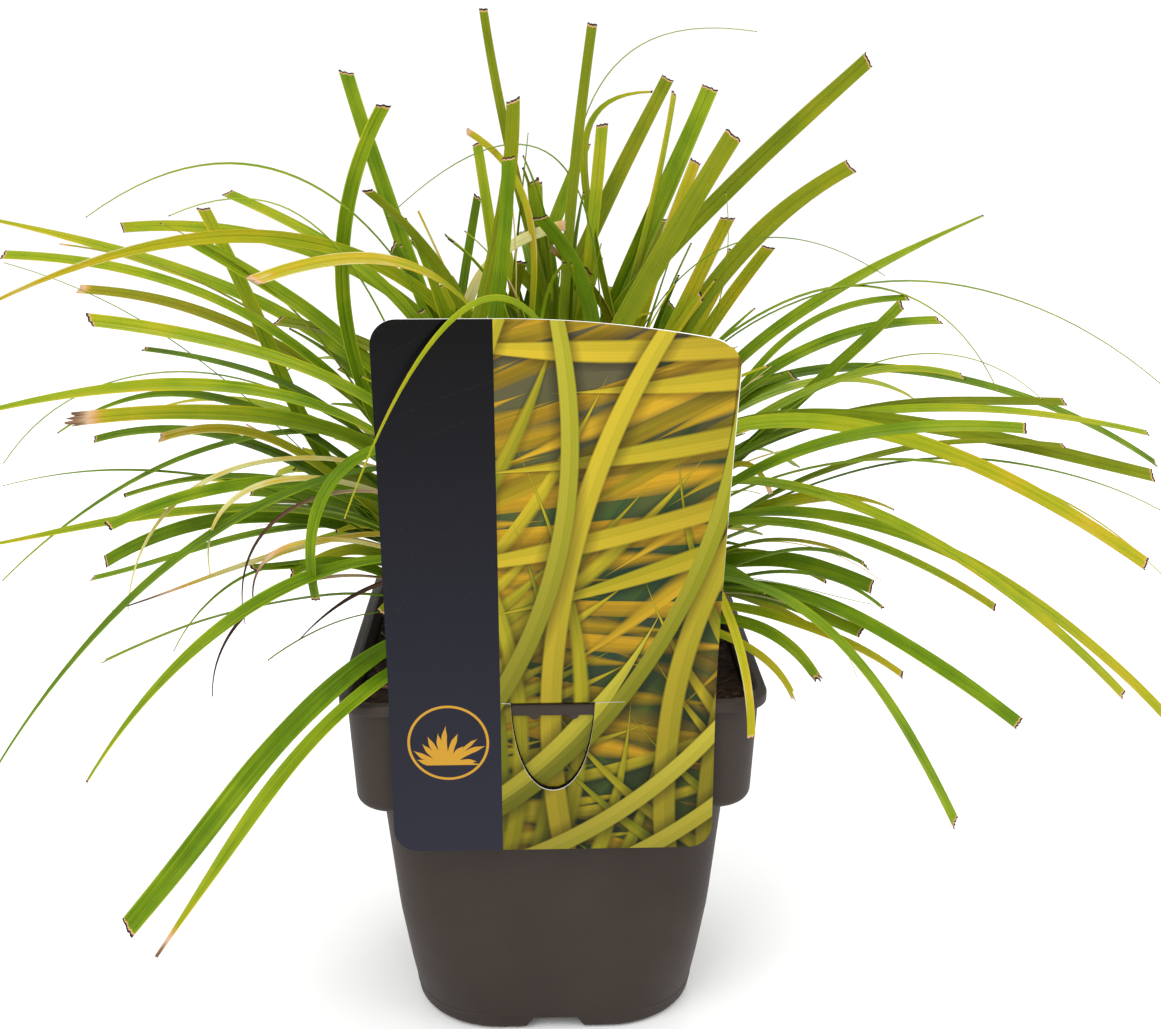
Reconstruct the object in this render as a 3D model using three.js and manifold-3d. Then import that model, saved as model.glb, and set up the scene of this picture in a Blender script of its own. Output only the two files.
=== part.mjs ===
// A carex tussock in a square nursery pot, with a printed plant label clipped over the rim.
// Millimetres, +Z up. The origin is the middle of the pot's underside. The label hangs on the
// front of the rim, which faces -Y.
import * as THREE from 'three';
import { mergeVertices } from 'three/addons/utils/BufferGeometryUtils.js';
import Module from 'manifold-3d';

const wasm = await Module();
wasm.setup();

// ---- Driving dimensions ----------------------------------------------------------------
const GAP = 0.3; // free space between pieces that rest on each other

// Pot: an injection-moulded square pot with a deep collar and a small lip round its top.
const POT_HEIGHT = 130;
const RIM_HALF = 67; // half the width across the lip
const RIM_CORNER = 12; // radius of the rim's corners, seen from above
const LIP_HEIGHT = 3.8;
const LIP_EDGE = { drop: 0.8, inset: 0.5 }; // the lip's rounded upper edge
const LIP_UNDERCUT = { rise: 0.3, inset: 0.2 }; // its lower edge
const COLLAR_HALF = 64.8; // half the width across the collar, just under the lip
const COLLAR_DRAFT = 1.4; // the collar narrows by this on each side
const COLLAR_HEIGHT = 39;
const COLLAR_EDGE = 3.4; // rounding at the collar's lower edge
const LEDGE_ROUND = 3; // rounding inside the collar, above its ledge
// The body, from its base to the collar: height, half the width and radius of the corners, which
// widen towards the foot.
const BODY = [
  [0, 48.5, 30],
  [6, 48.9, 28],
  [20, 50.1, 22],
  [45, 52.4, 15],
  [POT_HEIGHT - COLLAR_HEIGHT, 56, 12],
];
const FOOT_ROUND = 2; // rounding between the walls and the underside
const WALL = 1.3;
const FLOOR = 1.8;
const LEDGE_RISE = 0.01; // a ring this much above another makes a level ledge
const CORNER_STEPS = 6; // segments in each rounded corner
const FOOT_STEPS = 3;
const EDGE_STEPS = 3;

// The channel in from the middle of each side of the underside, narrower at its top.
const NOTCH = { width: 21, topWidth: 15, height: 4.5, depth: 26 };
const DRAIN_RADIUS = 4.5;
const DRAIN_SIDES = 20;
const DRAIN_MARGIN = 2; // from a channel's inner end to the hole in it
const CORNER_DRAIN_OFFSET = 27; // the corner holes, from the axis
const COLLAR_SLOT = { width: 7, height: 2.6, top: 7.5, offset: 38 }; // slots in the side walls
const OVERCUT = 5; // a cutting block reaches this far past the surface

// Label: a bent plastic sheet. Its tongue hangs behind the strap that the lip forms.
const STRAP_THICK = 0.9;
const STRAP_SLOT_WIDTH = 28;
const STRAP_SLOT_END = 1; // the slot goes this far below the lip
const COLLAR_CLEAR = 0.02; // skin left on the collar behind the slot
const LABEL_WIDTH = 99.5;
const LABEL_THICK = 0.5;
const LABEL_CORNER = 7.5;
const LABEL_BOTTOM = 80.8; // height of the label's lower edge above the floor
const LABEL_TOP = 250;
const LABEL_LEAN = 10; // how far the upper edge stands in front of the rim
const LABEL_BEND = 1.25; // 1 leans straight, and more bends forward towards the top
const LABEL_STEPS = 8;
const LABEL_COLUMNS = 14;
const LABEL_SPARE = 10; // the sheet is this much wider before its outline is cut
const LABEL_SHIFT = -0.4; // the label hangs this much to the right of the middle
// The sheet's upper right corner curls forward and down by these, from this share of half the width.
const LABEL_CURL = { forward: 24, drop: 3, from: -0.3, power: 2 };
const TONGUE_WIDTH = 25;
const TONGUE_LENGTH = 26;
const TONGUE_CUT = 0.5; // width of the cut round the tongue
const TONGUE_END = { height: 9, corner: 6, taper: 1 }; // its round free end
const TONGUE_SET = 0.3; // the free end springs back by this
const FOLD_HEIGHT = 1.1; // the tongue's fold stands this high above the rim
const FOLD_ROUND = 0.6;

// Substrate and crown: the peat, and the tight clump of leaf sheaths that stands on it.
const SOIL_TOP = 120;
const CROWN_RADIUS = 33;
const CROWN_HEIGHT = 13;
const CROWN_EDGE = 3; // height of the crown's upright edge
const CROWN_STEPS = 6;
const CROWN_SIDES = 28;

// Leaves: strap blades, folded to a V at the base and opening towards the tip.
const LEAF_STEPS = 14;
const LEAF_BASE_WIDTH = 2.8;
const LEAF_KEEL = 0.55; // thickness at the keel
const LEAF_MARGIN = 0.35; // thickness at the edges
const LEAF_SEAT = 0.75; // how far a blade starts from the crown's surface
const LEAF_RING = 31; // distance from the axis of a blade that starts level
const BASE_ARM = 0.42; // the blade's curve: shares of its chord that its two ends run straight for
const TIP_ARM = 0.36;
const FOLD = { base: 0.75, open: 0.3, by: 0.4 }; // lift of the edges per half width, open by a share
const TURN = { from: 0.05, to: 0.6 }; // the face turns between these shares of the length
const ENDS = { point: { from: 0.5, loss: 0.82 }, cut: { from: 0.8, loss: 0.12 } }; // how a tip narrows

// One row per blade: heading and steepness at the base and dive at the tip, in degrees (0 is +X
// and level, and a dive past 90 leans back), then the tip's x, y, z, the full width, the turn of
// the face in degrees, how the blade ends and, where it isn't 1, how boldly it arches.
const LEAVES = {
  right: [
    [-36, 52, -58, 116, -100, 106, 5.2, -5, 'cut', 1.3],
    [-22, 50, -34, 146, -62, 119, 5.8, 25, 'cut'],
    [-28, 78, -45, 186, -44, 120, 5.4, 35, 'cut', 1.3],
    [-8, 64, -48, 214, -22, 99, 5.0, 20, 'point', 1.1],
    [-20, 70, -34, 145, -32, 146, 4.6, 25, 'cut', 1.1],
    [-12, 80, -34, 191, -38, 163, 5.4, 30, 'cut', 1.35],
    [9, 80, -14, 209, 4, 181, 5.2, 45, 'cut', 1.2],
    [24, 78, -32, 245, 82, 164, 4.6, 20, 'point', 1.15],
    [13, 66, -4, 186, 32, 201, 4.6, 25, 'cut', 1.05],
    [-27, 62, 0, 141, -58, 213, 6.4, 40, 'cut', 1.05],
    [2, 69, -17, 144.4, 20, 212.6, 5.0, 20, 'cut'],
    [24, 68, -2, 137, 28, 232, 4.6, 25, 'cut'],
    [28, 49, 46, 121, 18, 239, 5.2, 10, 'cut'],
    [36, 66, 18, 162, 68, 264, 4.6, 5, 'point', 1.05],
    [38, 74, 24, 106, 42, 283, 6.0, 20, 'cut'],
    [145, 84, 40, 109, 38, 319, 6.2, 0, 'cut'],
    [260, 74, 56, 60, 6, 295.5, 6.4, 40, 'cut'],
    [80, 86, 62, 56, 42, 310, 6.6, 20, 'cut'],
    [-36, 84, -88, 60, -74, 121.5, 2.8, 10, 'cut', 2],
  ],
  upright: [
    [130, 76, 50, 44, 72, 313, 5.2, 20, 'cut'],
    [-75, 87, 82, 14, -2, 329, 5.0, 25, 'cut'],
    [0, 86, 82, -20, 14, 334, 5.0, 0, 'cut', 1.2],
    [214, 54, 86, -11, -36, 307, 5.2, 40, 'cut'],
    [214, 64, 90, -12, -44, 291, 6.2, 45, 'cut'],
    [80, 76, 84, 17, 6, 299, 5.6, 55, 'cut'],
    [135, 72, 52, 13, 46, 292, 4.6, -30, 'cut'],
  ],
  left: [
    [152, 76, 74, -66, 26, 315, 5.2, 0, 'point'],
    [180, 57, 122, -51, -6, 305, 5.2, -30, 'cut'],
    [212, 84, 40, -56, -20, 280, 5.0, 20, 'cut'],
    [235, 88, -14, -83, -66, 259, 5.0, -10, 'cut', 1.35],
    [178, 38, 64, -114, 16, 272, 5.2, -20, 'cut', 1.05],
    [182, 74, 30, -116, 0, 264, 4.8, -20, 'cut', 1.08],
    [165, 82, 20, -109, 32, 276, 4.0, 0, 'point', 1.15],
    [118, 84, -6, -154, 62, 261, 4.2, 0, 'point', 1.2],
    [120, 88, -26, -172, -46, 246, 4.6, -25, 'point', 1.45],
    [148, 68, 10, -212, 62, 267, 4.2, -15, 'point', 1.1],
    [160, 66, 2, -163, 34, 243, 4.2, -15, 'cut'],
    [208, 77, 10, -136, -44, 244, 5.6, -30, 'cut', 1.1],
    [218, 74, -14, -182, -56, 216, 5.2, -40, 'point', 1.15],
    [198, 74, -4, -149, -30, 211, 5.8, -45, 'cut', 1.15],
    [204, 68, -24, -137, -42, 180, 4.8, -30, 'cut', 1.1],
    [192, 58, -8, -190, -26, 168, 4.8, -25, 'point', 1.05],
    [168, 62, -16, -170, 37, 135.5, 4.4, -25, 'cut'],
    [235, 80, -56, -170, -68, 112, 4.0, -15, 'point', 1.5],
    [225, 60, -54, -140, -78, 112, 5.8, -25, 'point', 1.25],
    [223, 37, -34, -118, -121, 89, 6.2, -40, 'cut'],
    [229, 28, -38, -109, -128, 85, 5.4, -10, 'point'],
  ],
  back: [
    [46, 63, -26, 152, 110, 186, 5.2, 10, 'cut'],
    [50, 50, -32, 108, 134, 150, 5.6, 10, 'cut'],
    [66, 68, -34, 88, 182, 182, 5.4, 10, 'point'],
    [82, 54, -38, 30, 198, 126, 5.6, 0, 'cut'],
    [97, 70, -32, -26, 206, 196, 5.2, 0, 'point'],
    [112, 56, -34, -74, 180, 142, 5.6, -10, 'cut'],
    [127, 66, -30, -120, 160, 186, 5.2, -10, 'point'],
    [142, 50, -36, -134, 112, 134, 5.6, -10, 'cut'],
    [150, 58, -24, -166, 92, 184, 5.0, -10, 'point'],
  ],
};

const MATERIALS = {
  polypropylene: new THREE.MeshStandardMaterial({ color: '#453f3c', roughness: 0.62 }),
  label: new THREE.MeshStandardMaterial({ color: '#23242f', roughness: 0.3 }),
  peat: new THREE.MeshStandardMaterial({ color: '#2a1c14', roughness: 1 }),
  sheath: new THREE.MeshStandardMaterial({ color: '#7d8a3a', roughness: 0.7 }),
  blade: new THREE.MeshStandardMaterial({ color: '#7ba318', roughness: 0.5 }),
};

// ---- Solids ----------------------------------------------------------------------------
// Joins rings of equal length into one closed shell. Rings run anticlockwise seen from the last
// one. The caps are fans, or the triangles given.
function loft(rings, capTriangles) {
  const count = rings[0].length;
  const fan = Array.from({ length: count - 2 }, (_, i) => [0, i + 1, i + 2]);
  const cap = capTriangles ?? fan;
  const last = (rings.length - 1) * count;
  const index = [];
  for (const [a, b, c] of cap) index.push(a, c, b, last + a, last + b, last + c);
  for (let ring = 0; ring + 1 < rings.length; ring++) {
    for (let i = 0; i < count; i++) {
      const lower = ring * count + i;
      const lowerNext = ring * count + ((i + 1) % count);
      index.push(lower, lowerNext, lowerNext + count, lower, lowerNext + count, lower + count);
    }
  }
  const geometry = new THREE.BufferGeometry();
  geometry.setFromPoints(rings.flat());
  geometry.setIndex(index);
  return geometry;
}

function roundedSquare(half, corner, z) {
  const points = [];
  for (let quarter = 0; quarter < 4; quarter++) {
    for (let step = 0; step <= CORNER_STEPS; step++) {
      const angle = (quarter + step / CORNER_STEPS) * (Math.PI / 2);
      const [cx, cy] = [[1, 1], [-1, 1], [-1, -1], [1, -1]][quarter];
      const inset = half - corner;
      const x = cx * inset + corner * Math.cos(angle);
      points.push(new THREE.Vector3(x, cy * inset + corner * Math.sin(angle), z));
    }
  }
  return points;
}

function toManifold(geometry) {
  const bare = geometry.clone();
  bare.deleteAttribute('normal');
  bare.deleteAttribute('uv');
  const merged = mergeVertices(bare, 1e-4);
  const vertProperties = new Float32Array(merged.attributes.position.array);
  const triVerts = new Uint32Array(merged.index.array);
  return new wasm.Manifold(new wasm.Mesh({ numProp: 3, vertProperties, triVerts }));
}

function toGeometry(solid) {
  const { vertProperties, triVerts } = solid.getMesh();
  const geometry = new THREE.BufferGeometry();
  geometry.setAttribute('position', new THREE.BufferAttribute(vertProperties, 3));
  geometry.setIndex(new THREE.BufferAttribute(triVerts, 1));
  return geometry;
}

function box(x0, x1, y0, y1, z0, z1) {
  const geometry = new THREE.BoxGeometry(x1 - x0, y1 - y0, z1 - z0);
  return toManifold(geometry.translate((x0 + x1) / 2, (y0 + y1) / 2, (z0 + z1) / 2));
}

// ---- Pot -------------------------------------------------------------------------------
const COLLAR_BOTTOM = POT_HEIGHT - COLLAR_HEIGHT;
const LIP_BOTTOM = POT_HEIGHT - LIP_HEIGHT;
const COLLAR_LOW_HALF = COLLAR_HALF - COLLAR_DRAFT;

// Half the width and the corner radius of the body at a height.
function bodySection(z) {
  const above = Math.max(BODY.findIndex(([height]) => height >= z), 1);
  const [low, lowHalf, lowCorner] = BODY[above - 1];
  const [high, highHalf, highCorner] = BODY[above];
  return [
    THREE.MathUtils.mapLinear(z, low, high, lowHalf, highHalf),
    THREE.MathUtils.mapLinear(z, low, high, lowCorner, highCorner),
  ];
}

// The body's outline at a height, smaller all round by inset.
function bodyRing(z, inset) {
  const [half, corner] = bodySection(z);
  return roundedSquare(half - inset, corner - inset, z);
}

function potOutside() {
  const rings = [];
  for (let step = 0; step <= FOOT_STEPS; step++) {
    const angle = (step / FOOT_STEPS) * (Math.PI / 2);
    rings.push(bodyRing(FOOT_ROUND * (1 - Math.cos(angle)), FOOT_ROUND * (1 - Math.sin(angle))));
  }
  for (const [height] of BODY.slice(1)) rings.push(bodyRing(height, 0));
  for (let step = 0; step <= EDGE_STEPS; step++) {
    const angle = (step / EDGE_STEPS) * (Math.PI / 2);
    const half = COLLAR_LOW_HALF - COLLAR_EDGE * (1 - Math.sin(angle));
    const z = COLLAR_BOTTOM + LEDGE_RISE + COLLAR_EDGE * (1 - Math.cos(angle));
    rings.push(roundedSquare(half, RIM_CORNER, z));
  }
  rings.push(roundedSquare(COLLAR_HALF, RIM_CORNER, LIP_BOTTOM));
  rings.push(roundedSquare(RIM_HALF - LIP_UNDERCUT.inset, RIM_CORNER, LIP_BOTTOM + LIP_UNDERCUT.rise));
  rings.push(roundedSquare(RIM_HALF, RIM_CORNER, POT_HEIGHT - LIP_EDGE.drop));
  rings.push(roundedSquare(RIM_HALF - LIP_EDGE.inset, RIM_CORNER, POT_HEIGHT));
  return toManifold(loft(rings));
}

// The space inside the walls, smaller all round by extra, up to the given height.
function potInside(extra, top) {
  const inset = WALL + extra;
  const ledge = COLLAR_BOTTOM + WALL + extra;
  const collarCorner = RIM_CORNER - inset;
  const rings = [bodyRing(FLOOR + extra, inset)];
  for (const [height] of BODY.slice(1, -1)) rings.push(bodyRing(height, inset));
  const [half, corner] = bodySection(COLLAR_BOTTOM);
  rings.push(roundedSquare(half - inset, corner - inset, ledge));
  rings.push(roundedSquare(COLLAR_LOW_HALF - LEDGE_ROUND - inset, collarCorner, ledge + LEDGE_RISE));
  rings.push(roundedSquare(COLLAR_LOW_HALF - inset, collarCorner, ledge + LEDGE_ROUND));
  const outside = THREE.MathUtils.mapLinear(
    top, ledge + LEDGE_ROUND, POT_HEIGHT, COLLAR_LOW_HALF, COLLAR_HALF);
  rings.push(roundedSquare(outside - inset, collarCorner, top));
  return toManifold(loft(rings));
}

// The raised channels under the pot, one from the middle of each side, grown by extra.
function notches(extra) {
  const [, baseHalf] = BODY[0];
  const inner = baseHalf - NOTCH.depth - extra;
  const depth = baseHalf + OVERCUT - inner;
  const slope = (NOTCH.width - NOTCH.topWidth) / 2 / NOTCH.height;
  const low = NOTCH.width / 2 + extra + slope * OVERCUT;
  const high = NOTCH.topWidth / 2 + extra;
  const top = NOTCH.height + extra;
  const shape = new THREE.Shape([
    new THREE.Vector2(-low, -OVERCUT), new THREE.Vector2(low, -OVERCUT),
    new THREE.Vector2(high, top), new THREE.Vector2(-high, top),
  ]);
  return [0, 1, 2, 3].map((quarter) => {
    const geometry = new THREE.ExtrudeGeometry(shape, { depth, bevelEnabled: false });
    geometry.rotateX(Math.PI / 2).translate(0, -inner, 0);
    return toManifold(geometry.rotateZ(quarter * (Math.PI / 2)));
  });
}

// The cutter for a drain hole through the floor, at the given bearing and distance from the axis.
function drain(angle, distance) {
  const depth = 2 * (NOTCH.height + FLOOR + OVERCUT);
  const geometry = new THREE.CylinderGeometry(DRAIN_RADIUS, DRAIN_RADIUS, depth, DRAIN_SIDES);
  geometry.rotateX(Math.PI / 2);
  return toManifold(geometry.translate(Math.cos(angle) * distance, Math.sin(angle) * distance, 0));
}

function makePot() {
  const cavity = notches(WALL).reduce(
    (space, notch) => space.subtract(notch), potInside(0, POT_HEIGHT + OVERCUT));
  let pot = potOutside().subtract(cavity);
  for (const notch of notches(0)) pot = pot.subtract(notch);
  const channelDrain = BODY[0][1] - NOTCH.depth + DRAIN_RADIUS + DRAIN_MARGIN;
  const cornerDrain = CORNER_DRAIN_OFFSET * Math.SQRT2;
  for (let quarter = 0; quarter < 4; quarter++) {
    const angle = quarter * (Math.PI / 2);
    pot = pot.subtract(drain(angle, channelDrain));
    pot = pot.subtract(drain(angle + Math.PI / 4, cornerDrain));
  }
  const { width, height, top, offset } = COLLAR_SLOT;
  const slotTop = POT_HEIGHT - top;
  for (const x of [-COLLAR_HALF, COLLAR_HALF]) {
    for (const y of [-offset, offset]) {
      pot = pot.subtract(box(x - OVERCUT, x + OVERCUT, y - width / 2, y + width / 2,
        slotTop - height, slotTop));
    }
  }
  // The slot behind the strap, cut down through the lip in front of the collar wall.
  const half = STRAP_SLOT_WIDTH / 2;
  pot = pot.subtract(box(-half, half, -RIM_HALF + STRAP_THICK, -COLLAR_HALF - COLLAR_CLEAR,
    LIP_BOTTOM - STRAP_SLOT_END, POT_HEIGHT + OVERCUT));
  return toGeometry(pot);
}

function makeSubstrate() {
  let peat = potInside(GAP, SOIL_TOP);
  for (const notch of notches(WALL + GAP)) peat = peat.subtract(notch);
  return toGeometry(peat);
}

// ---- Crown -----------------------------------------------------------------------------
function crownHeight(radius) {
  const dome = CROWN_HEIGHT - CROWN_EDGE;
  return SOIL_TOP + GAP + CROWN_EDGE + dome * (1 - (radius / CROWN_RADIUS) ** 2);
}

function makeCrown() {
  const bottom = SOIL_TOP + GAP;
  const profile = [new THREE.Vector2(0, bottom), new THREE.Vector2(CROWN_RADIUS, bottom)];
  for (let step = 0; step < CROWN_STEPS; step++) {
    const radius = CROWN_RADIUS * Math.cos((step / CROWN_STEPS) * (Math.PI / 2));
    profile.push(new THREE.Vector2(radius, crownHeight(radius)));
  }
  profile.push(new THREE.Vector2(0, crownHeight(0)));
  return new THREE.LatheGeometry(profile, CROWN_SIDES).rotateX(Math.PI / 2);
}

// ---- Label -----------------------------------------------------------------------------
// A sheet bent in the YZ plane along the given points, extruded across the label in steps.
function bentSheet(path, width, steps = 1) {
  const shape = new THREE.Shape();
  const side = (sign) => path.map((point, i) => {
    const before = path[Math.max(i - 1, 0)];
    const after = path[Math.min(i + 1, path.length - 1)];
    const along = after.clone().sub(before).normalize();
    const normal = new THREE.Vector2(-along.y, along.x);
    return point.clone().addScaledVector(normal, (sign * LABEL_THICK) / 2);
  });
  shape.setFromPoints([...side(1), ...side(-1).reverse()]);
  const geometry = new THREE.ExtrudeGeometry(shape, { depth: width, steps, bevelEnabled: false });
  // The shape's x and y become the sheet's y and z, and the extrusion runs along x.
  const [alongX, alongY, alongZ] = [[0, 1, 0], [0, 0, 1], [1, 0, 0]].map((v) => new THREE.Vector3(...v));
  geometry.applyMatrix4(new THREE.Matrix4().makeBasis(alongX, alongY, alongZ));
  geometry.translate(-width / 2, 0, 0);
  return toManifold(geometry);
}

// A prism along Y through the outline given in the XZ plane.
function prismThrough(shape) {
  const depth = 2 * (LABEL_LEAN + LABEL_CURL.forward + OVERCUT);
  const geometry = new THREE.ExtrudeGeometry(shape, { depth, bevelEnabled: false, curveSegments: 8 });
  geometry.rotateX(Math.PI / 2).translate(0, -RIM_HALF + depth / 2, 0);
  return toManifold(geometry);
}

// The curl's share at a distance across, from 0 where it starts to 1 at the right edge.
function curlShare(x) {
  const { from, power } = LABEL_CURL;
  return (Math.max(x / (LABEL_WIDTH / 2) - from, 0) / (1 - from)) ** power;
}

// A rectangle with round corners, whose upper edge falls towards the curled corner.
function labelOutline() {
  const inner = LABEL_WIDTH / 2 - LABEL_CORNER;
  const low = LABEL_BOTTOM + LABEL_CORNER;
  const upper = (x) => LABEL_TOP - LABEL_CURL.drop * curlShare(x);
  const shape = new THREE.Shape();
  shape.absarc(inner, low, LABEL_CORNER, -Math.PI / 2, 0);
  shape.absarc(inner, upper(inner) - LABEL_CORNER, LABEL_CORNER, 0, Math.PI / 2);
  for (let step = 1; step < LABEL_COLUMNS; step++) {
    const x = THREE.MathUtils.lerp(inner, -inner, step / LABEL_COLUMNS);
    shape.lineTo(x, upper(x));
  }
  shape.absarc(-inner, LABEL_TOP - LABEL_CORNER, LABEL_CORNER, Math.PI / 2, Math.PI);
  shape.absarc(-inner, low, LABEL_CORNER, Math.PI, (3 * Math.PI) / 2);
  return shape;
}

// The tongue's outline: straight at the top and round at its free end.
function tongueOutline(top, grow) {
  const half = TONGUE_WIDTH / 2 + grow;
  const end = POT_HEIGHT - TONGUE_LENGTH - grow;
  const { height, corner, taper } = TONGUE_END;
  const shape = new THREE.Shape();
  shape.moveTo(half, top);
  shape.lineTo(-half, top);
  shape.bezierCurveTo(-half + taper, end + height, -half + corner, end, 0, end);
  shape.bezierCurveTo(half - corner, end, half - taper, end + height, half, top);
  return shape;
}

function makeLabel() {
  const front = -RIM_HALF - GAP - LABEL_THICK / 2;
  const fold = POT_HEIGHT + FOLD_HEIGHT;
  const point = (y, z) => new THREE.Vector2(y, z);
  const sheetPath = [point(front, LABEL_BOTTOM), point(front, fold)];
  for (let step = 1; step <= LABEL_STEPS; step++) {
    const share = step / LABEL_STEPS;
    const z = THREE.MathUtils.lerp(fold, LABEL_TOP, share);
    sheetPath.push(point(front - LABEL_LEAN * share ** LABEL_BEND, z));
  }
  const sheet = bentSheet(sheetPath, LABEL_WIDTH + LABEL_SPARE, LABEL_COLUMNS).warp((spot) => {
    const up = Math.max(spot[2] - fold, 0) / (LABEL_TOP - fold);
    spot[1] -= LABEL_CURL.forward * curlShare(spot[0]) * up ** LABEL_BEND;
  });
  let label = sheet.intersect(prismThrough(labelOutline()));
  label = label.subtract(prismThrough(tongueOutline(fold, TONGUE_CUT)));
  const behind = -RIM_HALF + STRAP_THICK + GAP + LABEL_THICK / 2;
  // Over the rim, down behind the strap, and free below the lip.
  const tonguePath = [
    point(front, fold + FOLD_ROUND),
    point(front + FOLD_ROUND / 2, fold + FOLD_ROUND / 2),
    point(behind - FOLD_ROUND / 2, fold),
    point(behind, fold - FOLD_ROUND),
    point(behind, LIP_BOTTOM - STRAP_SLOT_END),
    point(behind - TONGUE_SET, POT_HEIGHT - TONGUE_LENGTH - OVERCUT),
  ];
  const tongue = bentSheet(tonguePath, TONGUE_WIDTH).intersect(
    prismThrough(tongueOutline(fold + OVERCUT, 0)));
  return toGeometry(label.add(tongue).translate([LABEL_SHIFT, 0, 0]));
}

// ---- Leaves ----------------------------------------------------------------------------
const radians = THREE.MathUtils.degToRad;

// Blades that start steeply stand near the middle of the crown, and the others round its edge.
function leafSeat(heading, steepness) {
  const radius = LEAF_RING * Math.sqrt((90 - steepness) / 90);
  return new THREE.Vector3(
    Math.cos(heading) * radius, Math.sin(heading) * radius, crownHeight(radius));
}

function widthShare(share, end) {
  const { from, loss } = ENDS[end];
  const opening = THREE.MathUtils.smoothstep(share, 0, FOLD.by);
  return { opening, narrowing: 1 - loss * THREE.MathUtils.smoothstep(share, from, 1) };
}

function direction(azimuth, elevation) {
  const level = Math.cos(elevation);
  return new THREE.Vector3(
    Math.cos(azimuth) * level, Math.sin(azimuth) * level, Math.sin(elevation));
}

function makeLeaf([heading, steepness, dive, x, y, z, width, turn, end, arch = 1]) {
  const azimuth = radians(heading);
  const start = direction(azimuth, radians(steepness));
  const base = leafSeat(azimuth, steepness).addScaledVector(start, LEAF_SEAT);
  const tip = new THREE.Vector3(x, y, z);
  const reach = base.distanceTo(tip) * arch;
  const finish = direction(Math.atan2(y - base.y, x - base.x), radians(dive));
  const curve = new THREE.CubicBezierCurve3(
    base, base.clone().addScaledVector(start, reach * BASE_ARM),
    tip.clone().addScaledVector(finish, -reach * TIP_ARM), tip);
  const across = new THREE.Vector3(-Math.sin(azimuth), Math.cos(azimuth), 0);
  const rings = [];
  for (let step = 0; step <= LEAF_STEPS; step++) {
    const share = step / LEAF_STEPS;
    const centre = curve.getPoint(share);
    const along = curve.getTangent(share);
    across.addScaledVector(along, -across.dot(along)).normalize();
    const { opening, narrowing } = widthShare(share, end);
    const roll = radians(turn) * THREE.MathUtils.smoothstep(share, TURN.from, TURN.to);
    const side = across.clone().applyAxisAngle(along, roll);
    const face = along.clone().cross(side);
    const half = (THREE.MathUtils.lerp(LEAF_BASE_WIDTH, width, opening) * narrowing) / 2;
    const lift = half * THREE.MathUtils.lerp(FOLD.base, FOLD.open, opening);
    const at = (s, u) => centre.clone().addScaledVector(side, s).addScaledVector(face, u);
    rings.push([
      at(0, -LEAF_KEEL / 2), at(half, lift - LEAF_MARGIN / 2), at(half, lift + LEAF_MARGIN / 2),
      at(0, LEAF_KEEL / 2), at(-half, lift + LEAF_MARGIN / 2), at(-half, lift - LEAF_MARGIN / 2),
    ]);
  }
  return loft(rings, [[0, 1, 2], [0, 2, 3], [0, 3, 4], [0, 4, 5]]);
}

// ---- Assembly --------------------------------------------------------------------------
const sedge = new THREE.Group();

function addPiece(name, geometry, material) {
  const mesh = new THREE.Mesh(geometry, material.clone());
  mesh.name = name;
  sedge.add(mesh);
}

addPiece('pot', makePot(), MATERIALS.polypropylene);
addPiece('substrate', makeSubstrate(), MATERIALS.peat);
addPiece('crown', makeCrown(), MATERIALS.sheath);
addPiece('plant_label', makeLabel(), MATERIALS.label);
for (const [group, rows] of Object.entries(LEAVES)) {
  rows.forEach((row, i) => {
    addPiece(`leaf_${group}_${String(i + 1).padStart(2, '0')}`, makeLeaf(row), MATERIALS.blade);
  });
}

export default sedge;
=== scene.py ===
"""A carex tussock in a square nursery pot, with a printed plant label on its rim.

It is laid out as an add-on: settings, one operator for each piece or group of like pieces, and a
panel that lists them. Lengths are metres, +Z is up, and the label faces -Y.
"""

import math
import random

import bpy
from bpy.props import FloatProperty, FloatVectorProperty, IntProperty, PointerProperty
from mathutils import Euler, Matrix, Vector, noise


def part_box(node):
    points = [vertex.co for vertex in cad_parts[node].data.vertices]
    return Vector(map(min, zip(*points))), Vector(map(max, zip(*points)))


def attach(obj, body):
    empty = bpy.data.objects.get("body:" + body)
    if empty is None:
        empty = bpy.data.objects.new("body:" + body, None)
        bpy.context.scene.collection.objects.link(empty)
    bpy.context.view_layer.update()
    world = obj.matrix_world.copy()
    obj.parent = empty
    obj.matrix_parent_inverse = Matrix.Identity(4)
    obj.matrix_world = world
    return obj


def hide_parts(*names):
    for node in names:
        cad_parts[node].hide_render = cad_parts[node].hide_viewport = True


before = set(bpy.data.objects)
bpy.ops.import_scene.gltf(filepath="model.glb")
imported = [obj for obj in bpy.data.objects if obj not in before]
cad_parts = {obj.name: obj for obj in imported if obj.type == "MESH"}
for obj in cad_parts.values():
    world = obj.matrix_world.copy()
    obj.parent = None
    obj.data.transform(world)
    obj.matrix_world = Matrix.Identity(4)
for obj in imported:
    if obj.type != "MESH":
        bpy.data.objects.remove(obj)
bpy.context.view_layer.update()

bl_info = {
    "name": "Potted carex sedge",
    "version": (1, 0, 0),
    "blender": (4, 5, 0),
    "location": "3D View > Sidebar > Sedge",
    "description": "Models a carex tussock in a nursery pot with a plant label",
    "category": "Add Mesh",
}

MM = 0.001
CAD_BODY = "root"
POT_LOW, POT_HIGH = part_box("pot")
SOIL_LOW, SOIL_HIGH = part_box("substrate")
CROWN_LOW, CROWN_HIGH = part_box("crown")
LABEL_LOW, LABEL_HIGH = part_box("plant_label")

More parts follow.
